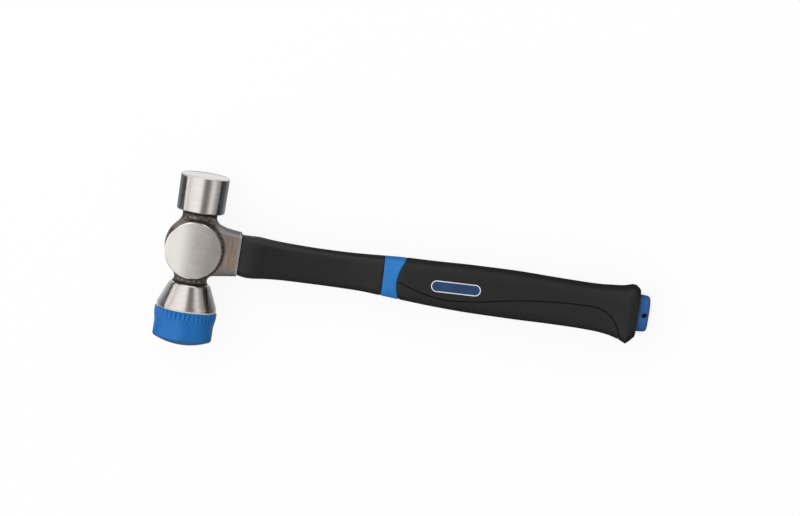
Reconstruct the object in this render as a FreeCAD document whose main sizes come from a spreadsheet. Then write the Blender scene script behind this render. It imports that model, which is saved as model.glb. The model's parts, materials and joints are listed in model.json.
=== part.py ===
import FreeCAD, Part
import math
import os
import Sketcher

# Shop hammer lying on its side, in millimetres.
# The eye centre is where the handle axis crosses the head axis. Pieces are drawn from it: +X runs
# down the handle to the butt, +Y along the head to the steel striking face, +Z out of one cheek.
# Each piece is then placed so that the origin lies under the middle of the whole hammer, at the
# height of the lowest point of the plastic tip's rim.

document = FreeCAD.newDocument("shop_hammer")

# How close two drawn places must be to count as the same
drawing_tolerance = 0.01

# Driving dimensions
driving_dimensions = [
    # Steel head: round eye boss between two flat cheeks
    ("boss_radius", "20"),
    ("cheek_radius", "19.2"),
    ("boss_thickness", "30"),
    ("cheek_chamfer", "0.5"),
    # Necks above and below the boss
    ("neck_radius", "11.5"),
    ("neck_step", "0.6"),
    # Hard striking face
    ("poll_shoulder", "24.4"),
    ("poll_length", "24.5"),
    ("poll_rear_radius", "16"),
    ("poll_face_radius", "16.3"),
    ("poll_chamfer", "0.8"),
    # Cone that carries the plastic tip
    ("cone_shoulder", "23.6"),
    ("cone_top_radius", "13.4"),
    ("cone_length", "14.2"),
    ("cone_land_radius", "19.9"),
    ("cone_land_length", "4.2"),
    ("cone_chamfer", "0.5"),
    # Socket that grows out of the boss along the handle
    ("socket_length", "29.6"),
    ("socket_root_half_height", "18.1"),
    ("socket_root_half_thickness", "12.9"),
    ("socket_mouth_half_height", "14.05"),
    ("socket_mouth_half_thickness", "11.3"),
    ("socket_corner_radius", "5"),
    ("socket_mouth_chamfer", "0.6"),
    ("upper_blend_radius", "6.5"),
    ("lower_blend_radius", "2.6"),
    # Eye through the head and the adhesive in it
    ("bond_thickness", "1.3"),
    ("bond_recess", "4.2"),
    # Tapped hole and the tip's steel stud
    ("stud_radius", "6"),
    ("stud_fit_clearance", "0.05"),
    ("stud_engagement", "14"),
    ("stud_pitch", "1.75"),
    ("thread_depth", "0.9"),
    ("stud_chamfer", "1"),
    ("hole_run_out", "2.4"),
    ("flange_radius", "10"),
    ("flange_thickness", "3"),
    ("flange_cover", "5.4"),
    # Plastic striking tip
    ("tip_length", "23.65"),
    ("tip_rim_radius", "20.75"),
    ("tip_rim_height", "3.4"),
    ("tip_rim_chamfer", "0.5"),
    ("tip_taper_length", "6.2"),
    ("tip_barrel_radius", "19.75"),
    ("tip_edge_radius", "1.6"),
    ("tip_crown", "4"),
    ("rib_groove_width", "1.8"),
    ("rib_groove_depth", "0.85"),
    ("rib_count", "40"),
    # Glass-fibre core of the handle
    ("core_half_height", "9.6"),
    ("core_half_thickness", "6.8"),
    ("core_corner_radius", "3.4"),
    # Dark ring between the socket's mouth and the sleeve
    ("seal_thickness", "0.7"),
    ("seal_inset", "1.6"),
    # Black sleeve over the shaft
    ("sleeve_length", "95.2"),
    ("sleeve_half_height", "12"),
    ("sleeve_half_thickness", "9.7"),
    # Blue liner that the grip is moulded on, with its visible band
    ("liner_wall", "1.9"),
    ("band_length", "10.4"),
    ("band_edge_bow", "5.05"),
    ("band_edge_lean", "1.15"),
    # Black grip
    ("grip_length", "166.1"),
    ("grip_half_height", "15.8"),
    ("grip_half_thickness", "13.1"),
    ("heel_bevel_length", "5.4"),
    # Blank badge plates in the grip's sides
    ("badge_place", "49.2"),
    ("badge_length", "33.5"),
    ("badge_width", "7.7"),
    ("badge_corner_radius", "3.8"),
    ("badge_thickness", "1"),
    ("badge_stand_out", "0.2"),
    ("badge_tilt", "1.7"),
    # Butt plug with the hang hole
    ("plug_shank_length", "6"),
    ("plug_head_length", "7.3"),
    ("plug_base_half_height", "12.2"),
    ("plug_end_half_height", "11.6"),
    ("plug_half_thickness", "10.5"),
    ("plug_edge_radius", "2.2"),
    ("hang_hole_radius", "1.8"),
    ("hang_hole_end_wall", "1.4"),
    # How far cuts run past the faces that they open
    ("overrun", "5"),
]

sizes = document.addObject("Spreadsheet::Sheet", "sizes")
for row, (alias, value) in enumerate(driving_dimensions, start=1):
    sizes.set("A%d" % row, alias)
    sizes.set("B%d" % row, value)
    sizes.setAlias("B%d" % row, alias)
document.recompute()

# Tables of sections, as shares. Each row: place along the piece as a share of its length, height
# above and below the handle axis as shares of the half height, half thickness as a share of the
# half thickness, and corner radius as a share of the half thickness.
sleeve_section_shares = [
    (0.0, 1.028, 1.157, 1.05, 0.62),
    (0.06, 1.026, 1.228, 1.12, 0.64),
    (0.12, 1.042, 1.209, 1.13, 0.65),
    (0.19, 0.997, 1.146, 1.08, 0.66),
    (0.31, 0.947, 1.087, 1.02, 0.68),
    (0.52, 0.914, 1.049, 0.99, 0.68),
    (0.73, 0.937, 1.028, 0.99, 0.68),
    (0.87, 0.984, 1.036, 1.05, 0.70),
    (1.0, 1.045, 1.097, 1.15, 0.74),
]
grip_section_shares = [
    (0.0, 0.797, 0.834, 0.852, 0.55),
    (0.087, 0.842, 0.892, 0.93, 0.6),
    (0.208, 0.875, 0.969, 1.0, 0.66),
    (0.328, 0.931, 1.017, 1.0, 0.68),
    (0.418, 0.955, 1.022, 1.0, 0.68),
    (0.539, 0.975, 1.014, 1.0, 0.68),
    (0.719, 0.942, 0.983, 0.98, 0.68),
    (0.858, 0.935, 0.998, 0.985, 0.66),
    (0.930, 0.983, 1.078, 1.02, 0.64),
    (0.972, 1.031, 1.203, 1.06, 0.62),
    (1.0, 1.115, 1.325, 1.1, 0.6),
]
grip_end_shares = (0.985, 0.995, 0.96, 0.6)
# The heel's bevel bulges in its middle, at this share of its length
bevel_middle_share = 0.5
bevel_middle_shares = (1.11, 1.18, 1.05, 0.6)
plug_corner_share = 0.8
# Half the width of a thread groove's open side, as a share of the pitch
thread_flank_share = 0.8

# The seam between the grip's cover and its lower panel. Each row: place along the grip as a share
# of its length, height as a share of the half height, and how far the stretch to the next row bows
# up, as a share of its chord.
seam_shares = [
    (0.05, -0.02, -0.045),
    (0.268, -0.568, -0.02),
    (0.479, -0.262, 0.024),
    (0.852, 0.081, 0.178),
    (0.969, -1.031, 0.0),
    (0.975, -2.0, 0.0),
]


# Where things lie along the handle and along the head, as sums of the driving dimensions
sleeve_start = "(sizes.socket_length + sizes.seal_thickness)"
grip_start = "(%s + sizes.sleeve_length)" % sleeve_start
heel_place = "(%s + sizes.grip_length)" % grip_start
grip_end = "(%s + sizes.heel_bevel_length)" % heel_place
plug_end = "(%s + sizes.plug_head_length)" % grip_end
plug_shank_place = "(%s - sizes.plug_shank_length)" % grip_end
poll_face_place = "(sizes.poll_shoulder + sizes.poll_length)"
cone_base_place = "(-sizes.cone_shoulder - sizes.cone_length - sizes.cone_land_length)"
tip_face_place = "(%s - sizes.tip_length)" % cone_base_place
flange_top_place = "(%s - sizes.flange_cover)" % cone_base_place
widest_radius = "max(sizes.tip_rim_radius; sizes.boss_radius)"

# The hammer's middle, seen from the eye centre
middle_along = "((%s - %s) / 2)" % (plug_end, widest_radius)
middle_across = "((%s + %s) / 2)" % (poll_face_place, tip_face_place)


def measure(expression):
    """The number that an expression gives with the sizes of the sheet."""
    return float(sizes.evalExpression(expression.replace("sizes.", "")))


def new_piece(node):
    """An empty piece, placed from the eye centre to the hammer's own origin."""
    body = document.addObject("PartDesign::Body", node)
    body.Label = node
    body.setExpression("Placement.Base.x", "-%s" % middle_along)
    body.setExpression("Placement.Base.y", "-%s" % middle_across)
    body.setExpression("Placement.Base.z", widest_radius)
    return body


def flat_sketch(body, name, role, offset="0"):
    """An empty sketch on one of the piece's own origin planes, shifted along its normal."""
    plane = next(item for item in body.Origin.OriginFeatures if item.Role == role)
    sketch = body.newObject("Sketcher::SketchObject", "%s_%s" % (body.Name, name))
    sketch.AttachmentSupport = [(plane, "")]
    sketch.MapMode = "FlatFace"
    sketch.setExpression("AttachmentOffset.Base.z", offset)
    return sketch


def pin_coordinate(sketch, kind, axis, edge, end, expression):
    """Ties one coordinate of an edge's end to the sheet, or puts it on the sketch's axis."""
    if expression == "0":
        sketch.addConstraint(Sketcher.Constraint("PointOnObject", edge, end, axis))
        return
    value = measure(expression)
    index = sketch.addConstraint(Sketcher.Constraint(kind, -1, 1, edge, end, value))
    sketch.setExpression("Constraints[%d]" % index, expression)


def arc_between(start, finish, radius, side):
    """The short arc of a radius from start to finish, which bulges to the left for side 1."""
    chord = finish.sub(start)
    half = chord.Length / 2
    left = FreeCAD.Vector(-chord.y, chord.x, 0).normalize()
    to_centre = math.sqrt(max(radius * radius - half * half, 0))
    middle = (start + finish) * 0.5
    top = middle + left * (side * (radius - to_centre))
    return Part.Arc(start, top, finish)


def draw(sketch, corners, bends=None):
    """Closes a sketch through corners given as expressions.

    bends maps a corner's number to (radius expression, side) where the edge that leaves it is
    an arc rather than a line.
    """
    bends = bends or {}
    points = [FreeCAD.Vector(measure(across), measure(up), 0) for across, up in corners]
    edges = []
    for number, start in enumerate(points):
        finish = points[(number + 1) % len(points)]
        if number in bends:
            radius, side = bends[number]
            edge = sketch.addGeometry(arc_between(start, finish, measure(radius), side), False)
        else:
            edge = sketch.addGeometry(Part.LineSegment(start, finish), False)
        edges.append(edge)
    ends = [edge_ends(sketch, edges[number], points[number]) for number in range(len(points))]
    for number, edge in enumerate(edges):
        following = (number + 1) % len(edges)
        joined = (edge, ends[number][1], edges[following], ends[following][0])
        sketch.addConstraint(Sketcher.Constraint("Coincident", *joined))
    for number, (across, up) in enumerate(corners):
        pin_coordinate(sketch, "DistanceX", -2, edges[number], ends[number][0], across)
        pin_coordinate(sketch, "DistanceY", -1, edges[number], ends[number][0], up)
    for number, (radius, side) in bends.items():
        value = measure(radius)
        index = sketch.addConstraint(Sketcher.Constraint("Radius", edges[number], value))
        sketch.setExpression("Constraints[%d]" % index, radius)
    return sketch


def edge_ends(sketch, edge, start):
    """The numbers (1 or 2) of an edge's two ends, the one at start first."""
    first = sketch.getPoint(edge, 1)
    second = sketch.getPoint(edge, 2)
    if first.distanceToPoint(start) < second.distanceToPoint(start):
        return 1, 2
    return 2, 1


def draw_round_box(sketch, right, left, up, corner):
    """A rectangle with round corners, from -left to right and from -up to up."""
    corners = [
        ("%s - %s" % (right, corner), "-%s" % up),
        (right, "-%s + %s" % (up, corner)),
        (right, "%s - %s" % (up, corner)),
        ("%s - %s" % (right, corner), up),
        ("-%s + %s" % (left, corner), up),
        ("-%s" % left, "%s - %s" % (up, corner)),
        ("-%s" % left, "-%s + %s" % (up, corner)),
        ("-%s + %s" % (left, corner), "-%s" % up),
    ]
    return draw(sketch, corners, {number: (corner, -1) for number in (0, 2, 4, 6)})


def draw_circle(sketch, radius, across="0", up="0"):
    """A circle round a place given as expressions."""
    centre = FreeCAD.Vector(measure(across), measure(up), 0)
    axis = FreeCAD.Vector(0, 0, 1)
    circle = sketch.addGeometry(Part.Circle(centre, axis, measure(radius)), False)
    pin_coordinate(sketch, "DistanceX", -2, circle, 3, across)
    pin_coordinate(sketch, "DistanceY", -1, circle, 3, up)
    index = sketch.addConstraint(Sketcher.Constraint("Radius", circle, measure(radius)))
    sketch.setExpression("Constraints[%d]" % index, radius)
    return sketch


def turn(body, name, kind, sketch):
    """A full turn of a sketch about its own vertical axis, added or cut."""
    feature = body.newObject(kind, "%s_%s" % (body.Name, name))
    feature.Profile = sketch
    feature.ReferenceAxis = (sketch, ["V_Axis"])
    feature.Angle = 360
    document.recompute()
    return feature


def push(body, name, kind, sketch, length, reversed_way=False, both_ways=False):
    """A sketch pushed along its normal by a length from the sheet, added or cut."""
    feature = body.newObject(kind, "%s_%s" % (body.Name, name))
    feature.Profile = sketch
    feature.setExpression("Length", length)
    feature.Reversed = reversed_way
    feature.Midplane = both_ways
    document.recompute()
    return feature


def loft(body, name, sketches, straight=False):
    """A solid drawn through several section sketches."""
    feature = body.newObject("PartDesign::AdditiveLoft", "%s_%s" % (body.Name, name))
    feature.Profile = sketches[0]
    feature.Sections = sketches[1:]
    feature.Ruled = straight
    document.recompute()
    return feature


def dress(body, name, kind, size_name, size, wanted):
    """A fillet or chamfer on every edge of the piece so far that wanted() picks."""
    base = body.Tip
    numbered = enumerate(base.Shape.Edges, start=1)
    edges = ["Edge%d" % number for number, edge in numbered if wanted(edge)]
    if not edges:
        raise RuntimeError("%s: no edge for %s" % (body.Label, name))
    feature = body.newObject(kind, "%s_%s" % (body.Name, name))
    feature.Base = (base, edges)
    feature.setExpression(size_name, size)
    document.recompute()
    return feature


def lies_at(edge, axis, place):
    """Whether a whole edge lies in the plane where one coordinate equals an expression."""
    place_there = measure(place)
    box = edge.BoundBox
    nearest = {"x": (box.XMin, box.XMax), "y": (box.YMin, box.YMax), "z": (box.ZMin, box.ZMax)}[axis]
    return max(abs(limit - place_there) for limit in nearest) < drawing_tolerance


def section(body, name, along, shares, half_height, half_thickness):
    """One section sketch of the handle, across the X axis, from a row of shares."""
    above_share, below_share, thickness_share, corner_share = shares
    sketch = flat_sketch(body, name, "YZ_Plane", along)
    above = "%s * %s" % (half_height, above_share)
    below = "%s * %s" % (half_height, below_share)
    side = "%s * %s" % (half_thickness, thickness_share)
    corner = "%s * %s" % (half_thickness, corner_share)
    return draw_round_box(sketch, above, below, side, corner)


def core_outline(body, name, along, growth="0"):
    """The core's section, grown all round."""
    sketch = flat_sketch(body, name, "YZ_Plane", along)
    up = "(sizes.core_half_height + %s)" % growth
    side = "(sizes.core_half_thickness + %s)" % growth
    corner = "(sizes.core_corner_radius + %s)" % growth
    return draw_round_box(sketch, up, up, side, corner)


def handle_outline(body, name, along):
    """The outside of the liner and of the plug's shank: the core's section grown by one wall."""
    return core_outline(body, name, along, "sizes.liner_wall")


def grip_envelope(body, to_the_end):
    """The grip's whole outside, from the band's front edge to the heel and its bevel."""
    sketches = []
    for number, row in enumerate(grip_section_shares):
        along = "%s + sizes.grip_length * %s" % (grip_start, row[0])
        shape = section(body, "station_%d" % number, along, row[1:],
                        "sizes.grip_half_height", "sizes.grip_half_thickness")
        sketches.append(shape)
    loft(body, "outside", sketches)
    if to_the_end:
        heel = section(body, "heel", heel_place, grip_section_shares[-1][1:],
                       "sizes.grip_half_height", "sizes.grip_half_thickness")
        middle_place = "%s + sizes.heel_bevel_length * %s" % (heel_place, bevel_middle_share)
        middle = section(body, "bevel_middle", middle_place, bevel_middle_shares,
                         "sizes.grip_half_height", "sizes.grip_half_thickness")
        end = section(body, "end", grip_end, grip_end_shares,
                      "sizes.grip_half_height", "sizes.grip_half_thickness")
        loft(body, "bevel", [heel, middle, end], straight=True)


def cut_through_sides(body, name, corners, bends):
    """Cuts a shape drawn on the hammer's mid plane out of both of a piece's sides."""
    sketch = draw(flat_sketch(body, name, "XY_Plane"), corners, bends)
    push(body, "%s_cut" % name, "PartDesign::Pocket", sketch,
         "4 * sizes.grip_half_thickness", both_ways=True)


def cut_at_band_edge(body, behind):
    """Cuts a piece of the grip off at the curved edge between the blue band and the black grip."""
    height = "sizes.grip_half_height"
    middle = "%s + sizes.band_length + sizes.band_edge_bow" % grip_start
    upper = "%s + sizes.band_edge_lean" % middle
    lower = "%s - sizes.band_edge_lean" % middle
    far = "%s + sizes.overrun" % grip_end if behind else "%s - sizes.overrun" % grip_start
    corners = [
        (lower, "-" + height),
        (upper, height),
        (upper, "2 * " + height),
        (far, "2 * " + height),
        (far, "-2 * " + height),
        (lower, "-2 * " + height),
    ]
    half_chord = "hypot(%s; sizes.band_edge_lean)" % height
    radius = "%s * %s / (2 * sizes.band_edge_bow) + sizes.band_edge_bow / 2" % (half_chord, half_chord)
    cut_through_sides(body, "band_edge", corners, {0: (radius, 1)})


def cut_at_seam(body, below):
    """Cuts a piece of the grip off at the seam between the cover and the lower panel."""
    height = "sizes.grip_half_height"
    corners = []
    bends = {}
    for number, (along_share, height_share, bow_share) in enumerate(seam_shares):
        along = "%s + sizes.grip_length * %s" % (grip_start, along_share)
        corners.append((along, "%s * %s" % (height, height_share)))
        if bow_share:
            rise = seam_shares[number + 1][1] - height_share
            run = seam_shares[number + 1][0] - along_share
            chord = "hypot(sizes.grip_length * %s; %s * %s)" % (run, height, rise)
            bend_share = 1 / (8 * abs(bow_share)) + abs(bow_share) / 2
            side = 1 if bow_share > 0 else -1
            bends[number] = ("%s * %s" % (chord, bend_share), side)
    lowest = corners[-1][1]
    front = corners[0][0]
    if below:
        corners.append((front, lowest))
    else:
        far = "%s + sizes.overrun" % grip_end
        corners += [(far, lowest), (far, "2 * " + height), (front, "2 * " + height)]
    cut_through_sides(body, "seam", corners, bends)


def badge_sketch(body, name, side):
    """A badge's outline on the floor of its recess, on the cheek's side (1) or the other (-1)."""
    floor = "(sizes.grip_half_thickness + sizes.badge_stand_out - sizes.badge_thickness)"
    sketch = flat_sketch(body, name, "XY_Plane", "%d * %s" % (side, floor))
    sketch.setExpression("AttachmentOffset.Base.x", "%s + sizes.badge_place" % grip_start)
    sketch.setExpression("AttachmentOffset.Rotation.Angle", "sizes.badge_tilt")
    reach = "sizes.badge_length / 2"
    return draw_round_box(sketch, reach, reach, "sizes.badge_width / 2", "sizes.badge_corner_radius")


def cut_core(body):
    """Bores a piece for the core."""
    bore = core_outline(body, "core_outline", "sizes.socket_length")
    push(body, "core_bore", "PartDesign::Pocket", bore, "2 * %s" % plug_end, both_ways=True)


def cut_handle(body):
    """Bores a piece of the grip for the liner and the plug's shank."""
    bore = handle_outline(body, "handle_outline", "sizes.socket_length")
    push(body, "handle_bore", "PartDesign::Pocket", bore, "2 * %s" % plug_end, both_ways=True)


def add_blend(body, name, radius, side):
    """A web with a round edge between the neck and the socket, above (1) or below (-1) the axis."""
    slope = "((sizes.socket_root_half_height - sizes.socket_mouth_half_height) / sizes.socket_length)"
    foot_along = "(sizes.neck_radius + %s)" % radius
    foot_up = "(sizes.socket_root_half_height - %s * %s)" % (slope, foot_along)
    inside = "sizes.neck_radius / 2"
    corners = [
        ("sizes.neck_radius", "%d * (%s + %s)" % (side, foot_up, radius)),
        (foot_along, "%d * %s" % (side, foot_up)),
        (foot_along, "%d * %s" % (side, inside)),
        (inside, "%d * %s" % (side, inside)),
        (inside, "%d * (%s + %s)" % (side, foot_up, radius)),
    ]
    sketch = draw(flat_sketch(body, "%s_outline" % name, "XY_Plane"), corners, {0: (radius, -side)})
    push(body, name, "PartDesign::Pad", sketch,
         "2 * (sizes.socket_mouth_half_thickness - sizes.socket_corner_radius)", both_ways=True)


def make_head_forging():
    """The steel head: striking face, necks, eye boss, cone and handle socket in one forging."""
    body = new_piece("head_forging")
    turned = draw(flat_sketch(body, "turned_outline", "XY_Plane"), [
        ("0", cone_base_place),
        ("sizes.cone_land_radius - sizes.cone_chamfer", cone_base_place),
        ("sizes.cone_land_radius", "%s + sizes.cone_chamfer" % cone_base_place),
        ("sizes.cone_land_radius", "%s + sizes.cone_land_length" % cone_base_place),
        ("sizes.cone_top_radius", "-sizes.cone_shoulder"),
        ("sizes.neck_radius", "-sizes.cone_shoulder + sizes.neck_step"),
        ("sizes.neck_radius", "sizes.poll_shoulder"),
        ("sizes.poll_rear_radius - sizes.poll_chamfer", "sizes.poll_shoulder"),
        ("sizes.poll_rear_radius", "sizes.poll_shoulder + sizes.poll_chamfer"),
        ("sizes.poll_face_radius", "%s - sizes.poll_chamfer" % poll_face_place),
        ("sizes.poll_face_radius - sizes.poll_chamfer", poll_face_place),
        ("0", poll_face_place),
    ])
    turn(body, "turned_part", "PartDesign::Revolution", turned)

    half = "sizes.boss_thickness / 2"
    chord = "(sizes.boss_thickness - 2 * sizes.cheek_chamfer)"
    swell = "(sizes.boss_radius - sizes.cheek_radius)"
    boss_bend = "%s * %s / (8 * %s) + %s / 2" % (chord, chord, swell, swell)
    boss = draw(flat_sketch(body, "boss_outline", "XZ_Plane"), [
        ("0", "-" + half),
        ("sizes.cheek_radius - sizes.cheek_chamfer", "-" + half),
        ("sizes.cheek_radius", "-%s + sizes.cheek_chamfer" % half),
        ("sizes.cheek_radius", "%s - sizes.cheek_chamfer" % half),
        ("sizes.cheek_radius - sizes.cheek_chamfer", half),
        ("0", half),
    ], {2: (boss_bend, -1)})
    turn(body, "boss", "PartDesign::Revolution", boss)

    root = flat_sketch(body, "socket_root", "YZ_Plane")
    draw_round_box(root, "sizes.socket_root_half_height", "sizes.socket_root_half_height",
                   "sizes.socket_root_half_thickness", "sizes.socket_corner_radius")
    mouth = flat_sketch(body, "socket_mouth", "YZ_Plane", "sizes.socket_length")
    draw_round_box(mouth, "sizes.socket_mouth_half_height", "sizes.socket_mouth_half_height",
                   "sizes.socket_mouth_half_thickness", "sizes.socket_corner_radius")
    loft(body, "socket", [root, mouth], straight=True)
    add_blend(body, "upper_blend", "sizes.upper_blend_radius", 1)
    add_blend(body, "lower_blend", "sizes.lower_blend_radius", -1)
    dress(body, "mouth_chamfer", "PartDesign::Chamfer", "Size", "sizes.socket_mouth_chamfer",
          lambda edge: lies_at(edge, "x", "sizes.socket_length"))

    eye = core_outline(body, "eye_outline", "0", "sizes.bond_thickness")
    push(body, "eye", "PartDesign::Pocket", eye,
         "2 * (sizes.socket_length + sizes.overrun)", both_ways=True)
    hole = flat_sketch(body, "tapped_hole_outline", "XZ_Plane", "-" + cone_base_place)
    draw_circle(hole, "sizes.stud_radius + sizes.stud_fit_clearance")
    push(body, "tapped_hole", "PartDesign::Pocket", hole,
         "sizes.stud_engagement + sizes.hole_run_out")
    return body


def make_eye_bond():
    """Adhesive that fills the eye round the core, short of the head's far side."""
    body = new_piece("eye_bond")
    far_end = "(sizes.bond_recess - sizes.boss_radius)"
    outside = core_outline(body, "outside_outline", far_end, "sizes.bond_thickness")
    push(body, "outside", "PartDesign::Pad", outside, "sizes.socket_length - %s" % far_end)
    cut_core(body)
    return body


def make_handle_core():
    """The glass-fibre rod, from the far side of the eye to the butt plug."""
    body = new_piece("handle_core")
    far_end = "(sizes.bond_recess - sizes.boss_radius)"
    outside = core_outline(body, "outline", far_end)
    push(body, "rod", "PartDesign::Pad", outside, "%s - %s" % (plug_shank_place, far_end))
    return body


def make_socket_seal():
    """The thin dark ring that closes the socket's mouth."""
    body = new_piece("socket_seal")
    outside = flat_sketch(body, "outside_outline", "YZ_Plane", "sizes.socket_length")
    up = "(sizes.socket_mouth_half_height - sizes.seal_inset)"
    draw_round_box(outside, up, up, "(sizes.socket_mouth_half_thickness - sizes.seal_inset)",
                   "(sizes.socket_corner_radius - sizes.seal_inset)")
    push(body, "outside", "PartDesign::Pad", outside, "sizes.seal_thickness")
    cut_core(body)
    return body


def make_shaft_sleeve():
    """The black sleeve that covers the shaft from the socket to the blue band."""
    body = new_piece("shaft_sleeve")
    sketches = []
    for number, row in enumerate(sleeve_section_shares):
        along = "%s + sizes.sleeve_length * %s" % (sleeve_start, row[0])
        shape = section(body, "station_%d" % number, along, row[1:],
                        "sizes.sleeve_half_height", "sizes.sleeve_half_thickness")
        sketches.append(shape)
    loft(body, "outside", sketches)
    cut_core(body)
    return body


def make_grip_liner():
    """The blue liner on the core. Its front swells into the band that shows before the grip."""
    body = new_piece("grip_liner")
    grip_envelope(body, to_the_end=False)
    cut_at_band_edge(body, behind=True)
    tube = handle_outline(body, "tube_outline", grip_start)
    push(body, "tube", "PartDesign::Pad", tube, "%s - %s" % (plug_shank_place, grip_start))
    cut_core(body)
    return body


def make_grip_cover():
    """The black grip above the seam, with a recess for a badge in each side."""
    body = new_piece("grip_cover")
    grip_envelope(body, to_the_end=True)
    cut_at_band_edge(body, behind=False)
    cut_at_seam(body, below=True)
    cut_handle(body)
    for side, name in ((1, "upper_badge"), (-1, "lower_badge")):
        recess = badge_sketch(body, "%s_recess_outline" % name, side)
        push(body, "%s_recess" % name, "PartDesign::Pocket", recess,
             "sizes.badge_thickness + sizes.overrun", reversed_way=side > 0)
    return body


def make_grip_panel():
    """The black panel below the seam, which wraps round the underside of the grip."""
    body = new_piece("grip_panel")
    grip_envelope(body, to_the_end=True)
    cut_at_band_edge(body, behind=False)
    cut_at_seam(body, below=False)
    cut_handle(body)
    return body


def make_badge(node, side):
    """A blank badge plate, let into one side of the grip."""
    body = new_piece(node)
    outline = badge_sketch(body, "outline", side)
    push(body, "plate", "PartDesign::Pad", outline, "sizes.badge_thickness", reversed_way=side < 0)
    return body


def make_butt_plug():
    """The blue plug that closes the butt: a shank inside the grip and a head with the hang hole."""
    body = new_piece("butt_plug")
    shank = handle_outline(body, "shank_outline", plug_shank_place)
    push(body, "shank", "PartDesign::Pad", shank, "sizes.plug_shank_length")
    corner = "sizes.plug_half_thickness * %s" % plug_corner_share
    base = flat_sketch(body, "head_base", "YZ_Plane", grip_end)
    draw_round_box(base, "sizes.plug_base_half_height", "sizes.plug_base_half_height",
                   "sizes.plug_half_thickness", corner)
    end = flat_sketch(body, "head_end", "YZ_Plane", plug_end)
    draw_round_box(end, "sizes.plug_end_half_height", "sizes.plug_end_half_height",
                   "sizes.plug_half_thickness", corner)
    loft(body, "head", [base, end], straight=True)
    dress(body, "end_rounding", "PartDesign::Fillet", "Radius", "sizes.plug_edge_radius",
          lambda edge: lies_at(edge, "x", plug_end))
    hole = flat_sketch(body, "hang_hole_outline", "XY_Plane")
    draw_circle(hole, "sizes.hang_hole_radius",
                "%s - sizes.hang_hole_end_wall - sizes.hang_hole_radius" % plug_end)
    push(body, "hang_hole", "PartDesign::Pocket", hole,
         "4 * sizes.plug_half_thickness", both_ways=True)
    return body


def make_tip_cap():
    """The blue striking tip: a ribbed rim under the cone, a barrel and a domed face."""
    body = new_piece("tip_cap")
    hole = "sizes.stud_radius + sizes.stud_fit_clearance"
    cavity = "sizes.flange_radius + sizes.stud_fit_clearance"
    cavity_top = "%s + sizes.stud_fit_clearance" % flange_top_place
    cavity_floor = "%s - sizes.flange_thickness - sizes.stud_fit_clearance" % flange_top_place
    crown_radius = "(sizes.tip_barrel_radius - sizes.tip_edge_radius)"
    dome = "(%s * %s / (2 * sizes.tip_crown) + sizes.tip_crown / 2)" % (crown_radius, crown_radius)
    outline = draw(flat_sketch(body, "outline", "XY_Plane"), [
        (hole, cone_base_place),
        ("sizes.tip_rim_radius - sizes.tip_rim_chamfer", cone_base_place),
        ("sizes.tip_rim_radius", "%s - sizes.tip_rim_chamfer" % cone_base_place),
        ("sizes.tip_rim_radius", "%s - sizes.tip_rim_height" % cone_base_place),
        ("sizes.tip_barrel_radius",
         "%s - sizes.tip_rim_height - sizes.tip_taper_length" % cone_base_place),
        ("sizes.tip_barrel_radius", "%s + sizes.tip_crown + sizes.tip_edge_radius" % tip_face_place),
        (crown_radius, "%s + sizes.tip_crown" % tip_face_place),
        ("0", tip_face_place),
        ("0", cavity_floor),
        (cavity, cavity_floor),
        (cavity, cavity_top),
        (hole, cavity_top),
    ], {5: ("sizes.tip_edge_radius", 1), 6: (dome, 1)})
    turn(body, "turned_part", "PartDesign::Revolution", outline)

    groove = flat_sketch(body, "groove_outline", "XZ_Plane", "-" + cone_base_place)
    draw(groove, [
        ("sizes.tip_rim_radius - sizes.rib_groove_depth", "0"),
        ("sizes.tip_rim_radius + sizes.rib_groove_depth", "-sizes.rib_groove_width"),
        ("sizes.tip_rim_radius + sizes.rib_groove_depth", "sizes.rib_groove_width"),
    ])
    cut = push(body, "groove", "PartDesign::Pocket", groove,
               "sizes.tip_rim_height + sizes.tip_taper_length", reversed_way=True)
    ring = body.newObject("PartDesign::PolarPattern", "tip_cap_grooves")
    ring.Originals = [cut]
    ring.Axis = (groove, ["N_Axis"])
    ring.setExpression("Occurrences", "sizes.rib_count")
    body.Tip = ring
    document.recompute()
    return body


def make_tip_stud():
    """The steel stud: a flange held inside the tip and a threaded shank up into the cone."""
    body = new_piece("tip_stud")
    floor = "%s - sizes.flange_thickness" % flange_top_place
    top = "%s + sizes.stud_engagement" % cone_base_place
    outline = draw(flat_sketch(body, "outline", "XY_Plane"), [
        ("0", floor),
        ("sizes.flange_radius", floor),
        ("sizes.flange_radius", flange_top_place),
        ("sizes.stud_radius", flange_top_place),
        ("sizes.stud_radius", "%s - sizes.stud_chamfer" % top),
        ("sizes.stud_radius - sizes.stud_chamfer", top),
        ("0", top),
    ])
    turn(body, "turned_part", "PartDesign::Revolution", outline)

    middle = "(%s + sizes.stud_pitch)" % cone_base_place
    flank = "sizes.stud_pitch * %s" % thread_flank_share
    thread = draw(flat_sketch(body, "thread_outline", "XY_Plane"), [
        ("sizes.stud_radius - sizes.thread_depth", middle),
        ("sizes.stud_radius + sizes.thread_depth", "%s - %s" % (middle, flank)),
        ("sizes.stud_radius + sizes.thread_depth", "%s + %s" % (middle, flank)),
    ])
    groove = turn(body, "thread_groove", "PartDesign::Groove", thread)
    rows = "floor(sizes.stud_engagement / sizes.stud_pitch) - 1"
    stack = body.newObject("PartDesign::LinearPattern", "tip_stud_thread")
    stack.Originals = [groove]
    stack.Direction = (thread, ["V_Axis"])
    stack.setExpression("Length", "sizes.stud_pitch * (%s - 1)" % rows)
    stack.setExpression("Occurrences", rows)
    body.Tip = stack
    document.recompute()
    return body


def check_document():
    """Stops where an object failed to build or a piece has no valid shape."""
    for item in document.Objects:
        if "Invalid" in item.State or "Error" in item.State:
            raise RuntimeError("%s did not build: %s" % (item.Name, item.State))
    for item in document.findObjects("PartDesign::Body"):
        if item.Shape.isNull() or not item.Shape.isValid():
            raise RuntimeError("%s has no valid shape" % item.Label)


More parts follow.
